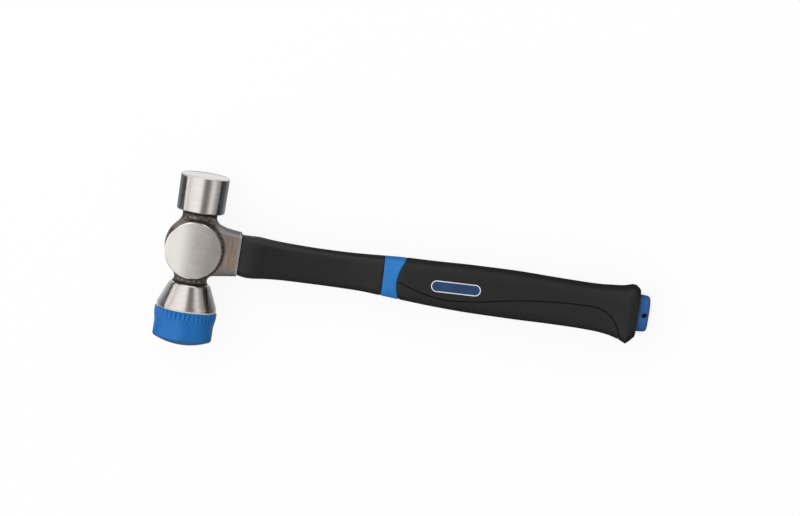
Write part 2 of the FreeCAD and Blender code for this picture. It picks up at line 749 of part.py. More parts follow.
make_head_forging()
make_eye_bond()
make_handle_core()
make_socket_seal()
make_shaft_sleeve()
make_grip_liner()
make_grip_cover()
make_grip_panel()
make_badge("badge_upper", 1)
make_badge("badge_lower", -1)
make_butt_plug()
make_tip_cap()
make_tip_stud()

document.recompute()
check_document()
os.makedirs("parts", exist_ok=True)
for piece in document.findObjects("PartDesign::Body"):
    piece.Shape.exportStep("parts/%s.step" % piece.Label)
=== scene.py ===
import json
import math

import bmesh
import bpy
from bpy.props import FloatProperty, FloatVectorProperty, IntProperty, PointerProperty
from bpy.types import Operator, Panel, PropertyGroup
from mathutils import Matrix, Vector


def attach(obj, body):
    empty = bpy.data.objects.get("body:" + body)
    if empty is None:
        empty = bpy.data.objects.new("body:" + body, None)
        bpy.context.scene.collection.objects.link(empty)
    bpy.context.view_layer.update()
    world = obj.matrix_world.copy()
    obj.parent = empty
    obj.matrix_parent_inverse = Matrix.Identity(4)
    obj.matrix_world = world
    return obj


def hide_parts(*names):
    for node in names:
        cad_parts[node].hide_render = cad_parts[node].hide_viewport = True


bl_info = {
    "name": "Shop hammer",
    "version": (1, 0, 0),
    "blender": (4, 5, 0),
    "location": "View3D > Sidebar > Shop hammer",
    "description": "Builds the looks of a shop hammer with a steel face and a screw-in plastic tip",
    "category": "Object",
}

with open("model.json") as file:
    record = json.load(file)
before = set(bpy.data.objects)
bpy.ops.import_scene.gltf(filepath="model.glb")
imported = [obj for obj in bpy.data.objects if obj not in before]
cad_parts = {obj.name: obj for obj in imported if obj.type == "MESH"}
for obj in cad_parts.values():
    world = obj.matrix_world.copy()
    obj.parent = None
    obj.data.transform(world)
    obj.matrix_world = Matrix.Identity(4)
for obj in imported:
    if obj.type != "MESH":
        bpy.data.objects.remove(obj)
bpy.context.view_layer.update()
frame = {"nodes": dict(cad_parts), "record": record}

MM = 0.001
HANDLE_BODY = "head_and_handle"
TIP_BODY = "tip"


def mount_place(name):
    """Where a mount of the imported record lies."""
    mounts = {mount["name"]: mount for mount in frame["record"]["mounts"]}
    return Vector(mounts[name]["pos_m"])


# The eye centre, where the handle's axis crosses the head's axis. Pieces are drawn from it.
eye_centre = (mount_place("upper_cheek") + mount_place("lower_cheek")) / 2


# Sizes and colours

def length(name, description, default):
    """A length that the user can change, given in millimetres."""
    return FloatProperty(
        name=name, description=description, default=default * MM, unit="LENGTH", precision=5
    )


def angle(name, description, default):
    """An angle that the user can change, given in degrees."""
    return FloatProperty(
        name=name, description=description, default=math.radians(default), unit="ROTATION"
    )


def number(name, description, default):
    """A plain number that the user can change."""
    return FloatProperty(name=name, description=description, default=default)


def colour(name, description, default):
    """A colour that the user can change."""
    return FloatVectorProperty(
        name=name, description=description, default=default, size=3, subtype="COLOR",
        min=0, max=1,
    )


class HeadSizes(PropertyGroup):
    """Sizes of the steel head."""

    boss_radius: length("Boss radius", "Radius of the round boss at its middle", 20)
    cheek_radius: length("Cheek radius", "Radius of the boss at its two flat cheeks", 19.2)
    boss_thickness: length("Boss thickness", "From cheek to cheek", 30)
    cheek_depth: length("Cheek depth", "How deep the turned edge of a cheek goes", 3.6)
    cheek_disc: length("Cheek disc", "Radius of the ground disc on a cheek", 18.95)
    boss_back: length("Boss back", "How far the boss's skin lies away from the butt", 0.6)
    cheek_back: length("Cheek back", "How far the ground disc lies away from the butt", 1.25)
    cheek_down: length("Cheek down", "How far the ground disc lies towards the cone", 0.7)
    cheek_chamfer: length("Cheek chamfer", "Chamfer round each cheek", 0.5)
    cheek_crown: length("Cheek crown", "How far a cheek's edge drops below its middle", 0.75)
    neck_radius: length("Neck radius", "Radius of the two necks", 11.5)
    poll_shoulder: length("Face shoulder", "From the eye centre to the steel face's back", 24.4)
    poll_length: length("Face length", "Length of the steel striking face", 24.5)
    poll_rear_radius: length("Face rear radius", "Radius at the steel face's back", 16)
    poll_face_radius: length("Face radius", "Radius at the striking face", 16.3)
    poll_chamfer: length("Face chamfer", "Chamfer round the striking face", 0.8)
    poll_crown: length("Face crown", "How far the face's edge drops below its middle", 0.2)
    cone_shoulder: length("Cone shoulder", "From the eye centre to the cone's top", 23.6)
    cone_top_radius: length("Cone top radius", "Radius at the cone's top", 13.4)
    cone_length: length("Cone length", "Height of the sloping flank", 15.2)
    cone_land_radius: length("Cone land radius", "Radius of the land over the tip", 19.9)
    cone_land_length: length("Cone land length", "Height of the land over the tip", 3.2)
    cone_lip: length("Cone lip", "Height of the rounded lip at the bottom of the land", 1.25)
    hole_radius: length("Hole radius", "Radius of the tapped hole", 6.05)
    hole_depth: length("Hole depth", "Depth of the tapped hole", 16.4)
    socket_length: length("Socket length", "From the eye centre to the socket's mouth", 29.6)
    socket_root_height: length("Socket root height", "Half height at the eye centre", 18.1)
    socket_root_thickness: length("Socket root thickness", "Half thickness at the centre", 12.9)
    socket_mouth_height: length("Socket mouth height", "Half height at the mouth", 14.05)
    socket_mouth_thickness: length("Socket mouth thickness", "Half thickness at the mouth", 11.3)
    socket_corner: length("Socket corner", "Radius of the socket's long edges", 5)
    socket_drop: length("Socket drop", "How far the socket's skin lies below the axis", 0.4)
    # The rim's pale colour is a painted highlight on the mouth's chamfer.
    mouth_rim: length("Mouth rim", "Width of the bright rim at the socket's mouth", 1.5)
    upper_blend: length("Upper blend", "Radius between the upper neck and the socket", 6.5)
    lower_blend: length("Lower blend", "Radius between the lower neck and the socket", 2.6)
    eye_height: length("Eye height", "Half height of the eye", 10.9)
    eye_thickness: length("Eye thickness", "Half thickness of the eye", 8.1)
    eye_corner: length("Eye corner", "Corner radius of the eye", 4.7)
    eye_recess: length("Eye recess", "How deep the open end of the eye goes", 5.5)
    skin_step: length("Forging step", "Grid step of the forged skin", 0.45)


class TipSizes(PropertyGroup):
    """Sizes of the plastic striking tip."""

    length_over_all: length("Tip length", "From the cone to the middle of the tip's face", 23.65)
    rim_radius: length("Rim radius", "Radius over the ribs", 20.75)
    rim_height: length("Rim height", "Height of the straight rim", 3.4)
    taper_length: length("Taper length", "Height over which the ribs run out", 6.2)
    barrel_radius: length("Barrel radius", "Radius below the ribs", 19.75)
    edge_radius: length("Edge radius", "Rounding round the face", 1.6)
    crown: length("Crown", "How far the face's middle stands out", 4)
    groove_depth: length("Groove depth", "Depth of the grooves between the ribs", 0.85)
    groove_width: length("Groove width", "Width of the grooves at the rim", 1.8)
    stud_radius: length("Stud hole radius", "Radius of the hole round the stud", 6.05)
    flange_radius: length("Flange pocket radius", "Radius of the pocket round the flange", 10.05)
    flange_top: length("Flange pocket top", "From the cone to the pocket's roof", 5.35)
    flange_floor: length("Flange pocket floor", "From the cone to the pocket's floor", 8.45)
    rib_count: IntProperty(
        name="Ribs", description="Number of ribs round the rim", default=40, min=3
    )


class HandleSizes(PropertyGroup):
    """Sizes of the handle."""

    seal_thickness: length("Seal thickness", "Dark ring between socket and sleeve", 0.7)
    sleeve_length: length("Sleeve length", "Length of the black sleeve", 95.2)
    sleeve_height: length("Sleeve height", "Half height of the sleeve", 12)
    sleeve_thickness: length("Sleeve thickness", "Half thickness of the sleeve", 9.7)
    band_length: length("Band length", "Length of the blue band at mid height", 10.4)
    band_bow: length("Band bow", "How far the grip's front edge bows", 5.05)
    band_lean: length("Band lean", "How far the grip's front edge leans", 1.15)
    grip_length: length("Grip length", "From the band's front to the heel", 166.1)
    grip_height: length("Grip height", "Half height of the grip", 15.8)
    grip_thickness: length("Grip thickness", "Half thickness of the grip", 13.1)
    heel_bevel: length("Heel bevel", "Length of the bevel behind the heel", 5.4)
    lip: length("Lip", "Rounding of moulded edges", 0.4)
    joint_gap: length("Joint gap", "Gap between the band and the grip's front edge", 0.7)
    seam_gap: length("Seam gap", "Gap between the cover and the panel", 0.78)
    seam_depth: length("Seam depth", "Depth of the gap between the cover and the panel", 0.9)
    badge_place: length("Badge place", "From the band's front to the badge", 49.2)
    badge_length: length("Badge length", "Length of a badge", 33.2)
    badge_width: length("Badge width", "Width of a badge", 7.7)
    badge_thickness: length("Badge thickness", "Thickness of a badge", 1)
    badge_rim: length("Badge rim", "Width of the pale rim", 0.65)
    badge_stand_out: length("Badge stand-out", "How far a badge stands out", 0.2)
    badge_tilt: angle("Badge tilt", "Turn of a badge against the handle", 1.7)


class Finishes(PropertyGroup):
    """Colours of the hammer's finishes."""

    steel: colour("Turned steel", "Bright turned steel", (0.63, 0.605, 0.59))
    cheek: colour("Cheek steel", "Ground steel of the cheeks", (0.88, 0.84, 0.805))
    forged_dark: colour("Forged dark", "Dark skin of the forging", (0.060, 0.049, 0.042))
    forged_light: colour("Forged light", "Worn skin of the forging", (0.20, 0.175, 0.155))
    socket: colour("Socket steel", "Satin steel of the socket", (0.287, 0.233, 0.197))
    tip_blue: colour("Tip blue", "Blue of the striking tip", (0.003, 0.124, 0.405))
    band_blue: colour("Band blue", "Blue of the band", (0.007, 0.153, 0.450))
    plug_blue: colour("Plug blue", "Blue of the butt plug", (0.015, 0.085, 0.270))
    sleeve_black: colour("Sleeve black", "Black of the sleeve", (0.0065, 0.0065, 0.0065))
    grip_black: colour("Grip black", "Black of the grip", (0.0070, 0.0070, 0.0070))
    badge_field: colour("Badge field", "Blue field of a badge", (0.014, 0.045, 0.120))
    badge_rim: colour("Badge rim", "Pale rim of a badge", (0.70, 0.74, 0.82))
    zinc: colour("Zinc", "Plating of the stud", (0.62, 0.62, 0.60))
    glass_fibre: colour("Glass fibre", "Rod of the handle", (0.42, 0.36, 0.20))
    adhesive: colour("Adhesive", "Adhesive in the eye", (0.02, 0.02, 0.02))
    floor: colour("Floor", "Pale floor", (0.94, 0.94, 0.94))


class StudioSizes(PropertyGroup):
    """The camera and the light."""

    roll: angle("Roll", "How far the handle falls to the right in the picture", 8.69)
    tilt: angle("Tilt", "How far the camera stands towards the steel face", 8.0)
    yaw: angle("Yaw", "How far the camera stands towards the butt", -1.5)
    distance: length("Camera distance", "From the camera to the hammer", 6000)
    pixel: length("Pixel size", "Size of a pixel of the picture at the hammer", 0.6631)
    eye_column: number("Eye column", "The eye centre's column in the picture", 195.12)
    eye_row: number("Eye row", "The eye centre's row in the picture", 247.22)
    key_power: number("Key light", "Power of the large soft light", 6.0)


def settings():
    """All the hammer's own settings in the scene."""
    return bpy.context.scene.shop_hammer


class HammerSettings(PropertyGroup):
    """Everything that the user can change."""

    head: PointerProperty(type=HeadSizes, name="Head", description="The steel head")
    tip: PointerProperty(type=TipSizes, name="Tip", description="The plastic striking tip")
    handle: PointerProperty(type=HandleSizes, name="Handle", description="The handle")
    finish: PointerProperty(type=Finishes, name="Finishes", description="The finishes")
    studio: PointerProperty(type=StudioSizes, name="Studio", description="Camera and light")


# Material building

class Value:
    """A number in a shader, which can be used in sums."""

    def __init__(self, shader, socket):
        self.shader = shader
        self.socket = socket

    def sum_of(self, operation, first, second):
        return self.shader.value("ShaderNodeMath", {"operation": operation}, {0: first, 1: second})

    def __add__(self, other):
        return self.sum_of("ADD", self, other)

    def __radd__(self, other):
        return self.sum_of("ADD", other, self)

    def __sub__(self, other):
        return self.sum_of("SUBTRACT", self, other)

    def __rsub__(self, other):
        return self.sum_of("SUBTRACT", other, self)

    def __mul__(self, other):
        return self.sum_of("MULTIPLY", self, other)

    def __rmul__(self, other):
        return self.sum_of("MULTIPLY", other, self)

    def __truediv__(self, other):
        return self.sum_of("DIVIDE", self, other)

    def __rtruediv__(self, other):
        return self.sum_of("DIVIDE", other, self)

    def __pow__(self, other):
        return self.sum_of("POWER", self, other)

    def __abs__(self):
        return self.shader.value("ShaderNodeMath", {"operation": "ABSOLUTE"}, {0: self})


class Shader:
    """The node tree of a material or of the world."""

    def __init__(self, tree):
        self.tree = tree

    def node(self, kind, node_settings=None, sockets=None):
        """A node of a kind, with its settings first and then the values or links of its sockets."""
        node = self.tree.nodes.new(kind)
        for name, setting in (node_settings or {}).items():
            if name == "stops":
                self.set_stops(node.color_ramp, setting)
            else:
                setattr(node, name, setting)
        for name, given in (sockets or {}).items():
            target = node.inputs[name]
            if isinstance(given, Value):
                self.tree.links.new(given.socket, target)
            else:
                target.default_value = given
        return node

    def set_stops(self, ramp, stops):
        while len(ramp.elements) > 1:
            ramp.elements.remove(ramp.elements[-1])
        ramp.elements[0].position = stops[0][0]
        ramp.elements[0].color = (*stops[0][1], 1)
        for position, stop_colour in stops[1:]:
            ramp.elements.new(position).color = (*stop_colour, 1)

    def value(self, kind, node_settings=None, sockets=None, output=0):
        """One output of a new node."""
        return Value(self, self.node(kind, node_settings, sockets).outputs[output])

    def place(self, centre=eye_centre):
        """Object coordinates in metres, measured from a centre."""
        spot = self.value("ShaderNodeTexCoord", output="Object")
        return self.value("ShaderNodeVectorMath", {"operation": "SUBTRACT"}, {0: spot, 1: centre})

    def parts(self, vector):
        """The three numbers of a vector."""
        split = self.node("ShaderNodeSeparateXYZ", None, {0: vector})
        return [Value(self, output) for output in split.outputs]

    def vector(self, x, y, z):
        """A vector from three numbers."""
        return self.value("ShaderNodeCombineXYZ", None, {0: x, 1: y, 2: z})

    def noise(self, spot, scale, detail=2.0, roughness=0.5):
        """Soft noise between about 0.3 and 0.7. A scale of three numbers stretches it."""
        if isinstance(scale, tuple):
            stretched = {0: spot, 1: scale}
            spot = self.value("ShaderNodeVectorMath", {"operation": "MULTIPLY"}, stretched)
            scale = 1.0
        return self.value(
            "ShaderNodeTexNoise", {"noise_dimensions": "3D"},
            {"Vector": spot, "Scale": scale, "Detail": detail, "Roughness": roughness},
        )

    def ramp(self, value, low, high, from_value=0.0, to_value=1.0):
        """A smooth step of a number from one range to another."""
        return self.value(
            "ShaderNodeMapRange", {"interpolation_type": "SMOOTHSTEP"},
            {"Value": value, "From Min": low, "From Max": high,
             "To Min": from_value, "To Max": to_value},
        )

    def between(self, value, low, rise, fall, high):
        """A smooth mask that is full between rise and fall, and nothing below low or above high."""
        return self.ramp(value, low, rise) * self.ramp(value, high, fall)

    def mix(self, factor, first, second):
        """One colour over another."""
        first, second = (
            given if isinstance(given, Value) else (*given, 1) for given in (first, second)
        )
        node = self.node("ShaderNodeMix", {"data_type": "RGBA"}, {0: factor, 6: first, 7: second})
        return Value(self, node.outputs[2])

    def blend(self, cloud, first, second, low=0.35, high=0.65):
        """Two colours in the patches of a noise."""
        return self.mix(self.ramp(cloud, low, high), first, second)

    def bump(self, height, strength, distance):
        """A bumpy normal from a height."""
        return self.value(
            "ShaderNodeBump", None,
            {"Strength": strength, "Distance": distance, "Height": height},
        )

    def surface(self, **sockets):
        """The finished surface, its sockets named in small letters."""
        named = {
            name.replace("_", " ").title().replace("Ior", "IOR"): given
            for name, given in sockets.items()
        }
        self.finish_with(self.value("ShaderNodeBsdfPrincipled", None, named))

    def finish_with(self, surface):
        """Links a surface to the material's output."""
        self.node("ShaderNodeOutputMaterial", None, {"Surface": surface})


def new_material(name):
    """An empty material and its shader."""
    material = bpy.data.materials.new(name)
    material.use_nodes = True
    material.node_tree.nodes.clear()
    return material, Shader(material.node_tree)


def tinted(tone, *factors):
    """A colour with its parts multiplied by one factor, or each by its own."""
    factors = factors if len(factors) == 3 else factors * 3
    return tuple(min(part * factor, 1.0) for part, factor in zip(tone, factors))


def far_from_axis(first, second):
    """How far a place lies from an axis, from its two distances across it."""
    return (first * first + second * second) ** 0.5


def turned_steel():
    """Bright steel with fine turning lines round the head's axis, and a painted highlight on the
    cone's lip.
    """
    material, shader = new_material("turned_steel")
    head, steel = settings().head, settings().finish.steel
    spot = shader.place()
    across, along, out = shader.parts(spot)
    line_scale = 5500
    radius = far_from_axis(across, out)
    lines = shader.noise(
        shader.vector(radius * line_scale, along * line_scale, 0.0), 1.0, 3.0, 0.65
    )
    broad = shader.noise(spot, (130, 900, 130))
    steel = shader.blend(lines * 0.6 + broad * 0.4, tinted(steel, 0.90), steel)
    lip = head.cone_lip - head.cone_shoulder - head.cone_length - head.cone_land_length
    lip_blur = 0.1 * MM
    # Painted highlight: the cone's lip is painted pale and less metallic, most of all on its right
    # side.
    lip_highlight_mask = shader.ramp(along, lip + lip_blur, lip - lip_blur)
    lip_highlight_mask = lip_highlight_mask * shader.ramp(across, -14 * MM, -3 * MM, 0.25, 1.0)
    painted_lip_highlight = (0.56, 0.63, 0.62)
    shader.surface(
        base_color=shader.mix(lip_highlight_mask, steel, painted_lip_highlight),
        metallic=1.0 - lip_highlight_mask * 0.8,
        roughness=0.10 + broad * 0.08 + lip_highlight_mask * 0.25,
        normal=shader.bump(lines, 0.08, 0.00005),
    )
    return material


def ground_cheek():
    """Pale ground steel with long shallow arcs, with painted light on its left half and painted
    shade along its far left edge.
    """
    material, shader = new_material("ground_cheek")
    steel = settings().finish.cheek
    spot = shader.place()
    across, along, out = shader.parts(spot)
    bow = along + across * across * 6.0
    arcs = shader.noise(shader.vector(across * 45, bow * 3600, out * 45), 1.0, 3.0, 0.6)
    cloud = shader.noise(spot, 120.0)
    tone = shader.blend(arcs * 0.5 + cloud * 0.5, tinted(steel, 0.90), steel, 0.36, 0.62)
    side = across + cloud * (3 * MM)
    # Painted light: the left half of the disc is painted paler and cooler.
    tone = shader.mix(shader.ramp(side, 1 * MM, -8 * MM), tone, tinted(steel, 1.05, 1.11, 1.16))
    # Painted shade: the far left edge of the disc is painted darker.
    painted_left_edge_shade = shader.ramp(side, -7 * MM, -16.5 * MM)
    shader.surface(
        base_color=shader.mix(painted_left_edge_shade, tone, tinted(steel, 0.83, 0.87, 0.87)),
        metallic=1.0,
        roughness=0.12 + cloud * 0.10,
        normal=shader.bump(arcs, 0.14, 0.00008),
    )
    return material


def forged_skin():
    """Dark rough forging on the necks that turns to satin brownish steel on the socket, with
    painted shade where the necks meet the ends and round the cheek discs, and painted highlights on
    the necks' waists, the upper left shoulder and the mouth's rim.
    """
    if "forged_skin" in bpy.data.materials:
        return bpy.data.materials["forged_skin"]
    head, finish = settings().head, settings().finish
    dark, light, brown = finish.forged_dark, finish.forged_light, finish.socket
    material, shader = new_material("forged_skin")
    spot = shader.place()
    across, along, _ = shader.parts(spot)
    height = abs(along)
    coarse = shader.noise(spot, 420.0, 4.0, 0.6)
    fine = shader.noise(spot, 2200.0, 3.0, 0.6)
    fleck = shader.noise(spot, (700, 1300, 700), 3.0, 0.65)
    stroke = shader.noise(spot, (900, 90, 900), 3.0, 0.6)

    skin = shader.blend(coarse * 0.4 + fleck * 0.4 + fine * 0.2, dark, light, 0.42, 0.60)
    # Pale flecks in a band round each neck's waist: the flecks are wear, and their gathering into a
    # band is a painted highlight.
    waist_wear_and_highlight = shader.between(height, 16.5 * MM, 18.5 * MM, 21.2 * MM, 22.6 * MM)
    skin = shader.mix(shader.ramp(fleck, 0.50, 0.66) * waist_wear_and_highlight * 0.6, skin, tinted(light, 1.8))
    # Painted shadow: darker where the necks meet the striking face and the cone.
    painted_joint_shade = shader.ramp(height, 22.0 * MM, 23.4 * MM)
    # Painted shadow: a dark band beside the cheek discs.
    root = shader.between(height, 13.8 * MM, 15.0 * MM, 16.0 * MM, 17.6 * MM) * 0.6
    # Painted shadow round the top and bottom of each cheek disc.
    from_disc = far_from_axis(across + head.cheek_back, along + head.cheek_down)
    from_disc = from_disc + fleck * (1.6 * MM)
    foot = shader.ramp(from_disc, 22.2 * MM, 20.6 * MM) * shader.ramp(height, 15 * MM, 17 * MM)
    # The colour of the painted shade at the necks' ends, beside the discs and round them.
    deep = tinted(dark, 0.25)
    skin = shader.mix(foot * 0.7, shader.mix(painted_joint_shade + root, skin, deep), deep)
    # Lighter grey and smoother on the upper neck's left shoulder: partly a smoother skin, partly
    # painted light.
    shoulder = shader.between(along, 11.0 * MM, 13.0 * MM, 17.2 * MM, 19.0 * MM)
    shoulder = shoulder * shader.ramp(across, -3 * MM, -7 * MM)
    skin = shader.mix(shoulder, skin, tinted(light, 1.35))

    satin = shader.blend(stroke, brown, tinted(brown, 1.35))
    grey = (brown[1] * 1.08,) * 3
    satin = shader.mix(shader.ramp(height, 8.5 * MM, 12.5 * MM) * 0.8, satin, grey)
    reach = far_from_axis(across, along) + coarse * (2 * MM)
    on_socket = shader.ramp(reach, 20.0 * MM, 21.8 * MM) * shader.ramp(across, 9 * MM, 14 * MM)
    # Painted highlight: the rim at the socket's mouth is painted pale.
    rim_highlight_mask = shader.ramp(across, 27.8 * MM, 28.1 * MM)
    painted_rim_highlight = (brown[1] * 1.7,) * 3
    rough = 1.0 - on_socket * 0.75 - shoulder * 0.7
    shader.surface(
        base_color=shader.mix(rim_highlight_mask, shader.mix(on_socket, skin, satin), painted_rim_highlight),
        metallic=shader.ramp(across, 10 * MM, 18 * MM, 0.75, 1.0),
        roughness=0.50 - on_socket * 0.12 + fine * 0.1,
        normal=shader.bump((coarse + fleck) * rough + fine * 0.35, 0.55, 0.00035),
    )
    return material


def moulded_plastic(name, base, roughness, grain, darkened_end=None):
    """Smooth moulded plastic with a trace of grain, darker and less blue towards an end along the
    head when one is given.
    """
    material, shader = new_material(name)
    spot = shader.place()
    cloud = shader.noise(spot, 140.0)
    fine = shader.noise(spot, 3200.0, 2.0, 0.6)
    pale = tuple(min(1.0, part * 1.10 + 0.002) for part in base)
    tone = shader.blend(cloud, base, pale)
    if darkened_end is not None:
        along = shader.parts(spot)[1]
        # Darker and less blue towards the given end.
        darkening_mask = shader.ramp(along, darkened_end + 6.5 * MM, darkened_end + 2.5 * MM)
        tone = shader.mix(darkening_mask, tone, (base[0] * 2 + 0.012, base[1] * 0.80, base[2] * 0.62))
    shader.surface(
        base_color=tone,
        roughness=roughness + cloud * 0.06,
        specular_ior_level=0.32,
        normal=shader.bump(fine, grain, 0.00008),
    )
    return material


def matt_black(name, base, roughness, grain):
    """Black moulded rubber or plastic with a fine lengthwise grain."""
    material, shader = new_material(name)
    spot = shader.place()
    streak = shader.noise(spot, (160, 900, 900), 3.0, 0.6)
    fine = shader.noise(spot, 2600.0, 3.0, 0.65)
    shader.surface(
        base_color=shader.blend(streak * 0.5 + fine * 0.5, base, tinted(base, 1.5)),
        roughness=roughness + streak * 0.10,
        specular_ior_level=0.32,
        normal=shader.bump(fine + streak * 0.5, grain, 0.00015),
    )
    return material


def plated_steel():
    """Zinc plated steel of the stud."""
    material, shader = new_material("plated_steel")
    cloud = shader.noise(shader.place(), 500.0, 3.0)
    zinc = settings().finish.zinc
    shader.surface(
        base_color=shader.blend(cloud, tinted(zinc, 0.8), zinc),
        metallic=1.0,
        roughness=0.26 + cloud * 0.2,
        normal=shader.bump(cloud, 0.1, 0.0001),
    )
    return material


def rod_fibre():
    """Drawn glass-fibre rod with long strands."""
    material, shader = new_material("rod_fibre")
    strand = shader.noise(shader.place(), (30, 2500, 2500), 3.0)
    base = settings().finish.glass_fibre
    shader.surface(
        base_color=shader.blend(strand, base, tinted(base, 1.5)),
        roughness=0.35 + strand * 0.2,
        normal=shader.bump(strand, 0.2, 0.0001),
    )
    return material


# Mesh building

def scratch(mesh, name):
    """A helper object made out of a bmesh, which is used up."""
    data = bpy.data.meshes.new(name)
    mesh.to_mesh(data)
    mesh.free()
    helper = bpy.data.objects.new(name, data)
    bpy.context.scene.collection.objects.link(helper)
    return helper


def discard(helper):
    """Removes a helper object and its mesh."""
    data = helper.data
    bpy.data.objects.remove(helper)
    bpy.data.meshes.remove(data)


def finish_piece(mesh, name, materials, sharp, replaces=(), body=HANDLE_BODY):
    """Makes a piece of the hammer out of a bmesh that was drawn from the eye centre."""
    bmesh.ops.remove_doubles(mesh, verts=mesh.verts, dist=1e-7)
    bmesh.ops.recalc_face_normals(mesh, faces=mesh.faces)
    bmesh.ops.translate(mesh, verts=mesh.verts, vec=eye_centre)
    piece = scratch(mesh, name)
    for material in materials:
        piece.data.materials.append(material)
    piece.data.shade_smooth()
    piece.data.set_sharp_from_angle(angle=math.radians(sharp))
    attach(piece, body)
    if replaces:
        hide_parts(*replaces)
    return piece


def dress_node(node, material):
    """Gives a solid of the frame its finish."""
    data = frame["nodes"][node].data
    data.materials.clear()
    data.materials.append(material)


def lathe(profile, steps, axis):
    """A profile of (radius, height) points turned about the Y or the Z axis."""
    mesh = bmesh.new()
    turn_axis = Vector((0, 1, 0)) if axis == "Y" else Vector((0, 0, 1))
    verts = [mesh.verts.new(Vector((radius, 0, 0)) + turn_axis * height)
             for radius, height in profile]
    edges = [mesh.edges.new(pair) for pair in zip(verts, verts[1:])]
    bmesh.ops.spin(
        mesh, geom=verts + edges, cent=(0, 0, 0), axis=turn_axis, angle=math.tau,
        steps=steps, use_merge=True, use_duplicate=False,
    )
    bmesh.ops.remove_doubles(mesh, verts=mesh.verts, dist=1e-6)
    bmesh.ops.recalc_face_normals(mesh, faces=mesh.faces)
    return mesh


def arc(centre, radius, start, finish, steps):
    """Points of an arc about a centre, between two angles in degrees."""
    angles = [math.radians(start + (finish - start) * step / steps) for step in range(steps + 1)]
    return [(centre[0] + radius * math.cos(angle), centre[1] + radius * math.sin(angle))
            for angle in angles]


def crowned(radius, drop, steps):
    """Points (radius, height) of a face whose edge drops below its middle, from the edge in."""
    levels = [1 - step / steps for step in range(steps + 1)]
    return [(radius * level, -drop * level ** 2) for level in levels]


def end_steps(size):
    """Pairs of a distance from an end and an inset there, which round the end off."""
    steps = 4
    angles = [math.pi / 2 * step / steps for step in range(steps + 1)]
    return [(size * (1 - math.cos(angle)), size * (1 - math.sin(angle))) for angle in angles]


def outline_point(above, below, side, corner, place):
    """The point at a share of the way round a box with round corners, from its top's middle."""
    mirrored = place > 0.5
    along = (1 - place if mirrored else place) * 2
    flat = side - corner
    bend = math.pi / 2 * corner
    upright = above + below - 2 * corner
    total = 2 * flat + 2 * bend + upright
    walk = along * total
    if walk <= flat:
        point = (above, walk)
    elif walk <= flat + bend:
        angle = (walk - flat) / corner
        point = (above - corner + corner * math.cos(angle), flat + corner * math.sin(angle))
    elif walk <= flat + bend + upright:
        point = (above - corner - (walk - flat - bend), side)
    elif walk <= flat + 2 * bend + upright:
        angle = (walk - flat - bend - upright) / corner
        point = (-below + corner - corner * math.sin(angle), flat + corner * math.cos(angle))
    else:
        point = (-below, total - walk)
    return (point[0], -point[1] if mirrored else point[1])


def outline_ring(along, above, below, side, corner, points):
    """A ring of points round the handle's axis."""
    ring = []
    for number in range(points):
        up, out = outline_point(above, below, side, corner, number / points)
        ring.append(Vector((along, up, out)))
    return ring


def skin_of(rings):
    """A closed skin: the first ring extruded through all the others, with both ends filled."""
    mesh = bmesh.new()
    made = bmesh.ops.create_circle(mesh, segments=len(rings[0]), radius=1.0)
    order = {vert: number for number, vert in enumerate(made["verts"])}
    edges = mesh.edges[:]
    for vert, number in order.items():
        vert.co = rings[0][number]
    for ring in rings[1:]:
        grown = bmesh.ops.extrude_edge_only(mesh, edges=edges)["geom"]
        fresh = [item for item in grown if isinstance(item, bmesh.types.BMVert)]
        edges = [item for item in grown if isinstance(item, bmesh.types.BMEdge)]
        following = {}
        for vert in fresh:
            for edge in vert.link_edges:
                number = order.get(edge.other_vert(vert))
                if number is not None:
                    following[vert] = number
        for vert, number in following.items():
            vert.co = ring[number]
        order = following
    bmesh.ops.holes_fill(mesh, edges=mesh.edges, sides=0)
    bmesh.ops.recalc_face_normals(mesh, faces=mesh.faces)
    return mesh


def bevel(mesh, edges, width, segments):
    """Rounds some edges."""
    bmesh.ops.bevel(
        mesh, geom=edges, offset=width, offset_type="OFFSET", segments=segments,
        profile=0.5, affect="EDGES", material=-1, clamp_overlap=True,
    )


def soften(mesh, verts, times):
    """Smooths some points of a mesh."""
    for _ in range(times):
        bmesh.ops.smooth_vert(
            mesh, verts=verts, factor=0.5, use_axis_x=True, use_axis_y=True, use_axis_z=True
        )


def settle(helper):
    """A helper's mesh with its modifiers applied, as a new bmesh. The helper is removed."""
    graph = bpy.context.evaluated_depsgraph_get()
    data = bpy.data.meshes.new_from_object(helper.evaluated_get(graph))
    mesh = bmesh.new()
    mesh.from_mesh(data)
    discard(helper)
    bpy.data.meshes.remove(data)
    return mesh


def cut_away(mesh, cutter, name):
    """A bmesh less another one."""
    whole, knife = scratch(mesh, name), scratch(cutter, "knife")
    step = whole.modifiers.new("cut", "BOOLEAN")
    step.operation = "DIFFERENCE"
    step.solver = "EXACT"
    step.object = knife
    result = settle(whole)
    discard(knife)
    return result


def raised(mesh, grown, shift):
    """Moves up the points of what an extrusion has grown."""
    verts = [item for item in grown["geom"] if isinstance(item, bmesh.types.BMVert)]
    bmesh.ops.translate(mesh, verts=verts, vec=(0, 0, shift))


def prism(corners, half_thickness):
    """A shape drawn in the plane of the head and handle, pushed out to both sides."""
    mesh = bmesh.new()
    verts = [mesh.verts.new((along, up, -half_thickness)) for along, up in corners]
    face = mesh.faces.new(verts)
    raised(mesh, bmesh.ops.extrude_face_region(mesh, geom=[face]), 2 * half_thickness)
    bmesh.ops.recalc_face_normals(mesh, faces=mesh.faces)
    return mesh


def joined(meshes):
    """Several bmeshes in one."""
    whole = bmesh.new()
    for mesh in meshes:
        data = bpy.data.meshes.new("joined")
        mesh.to_mesh(data)
        mesh.free()
        whole.from_mesh(data)
        bpy.data.meshes.remove(data)
    return whole


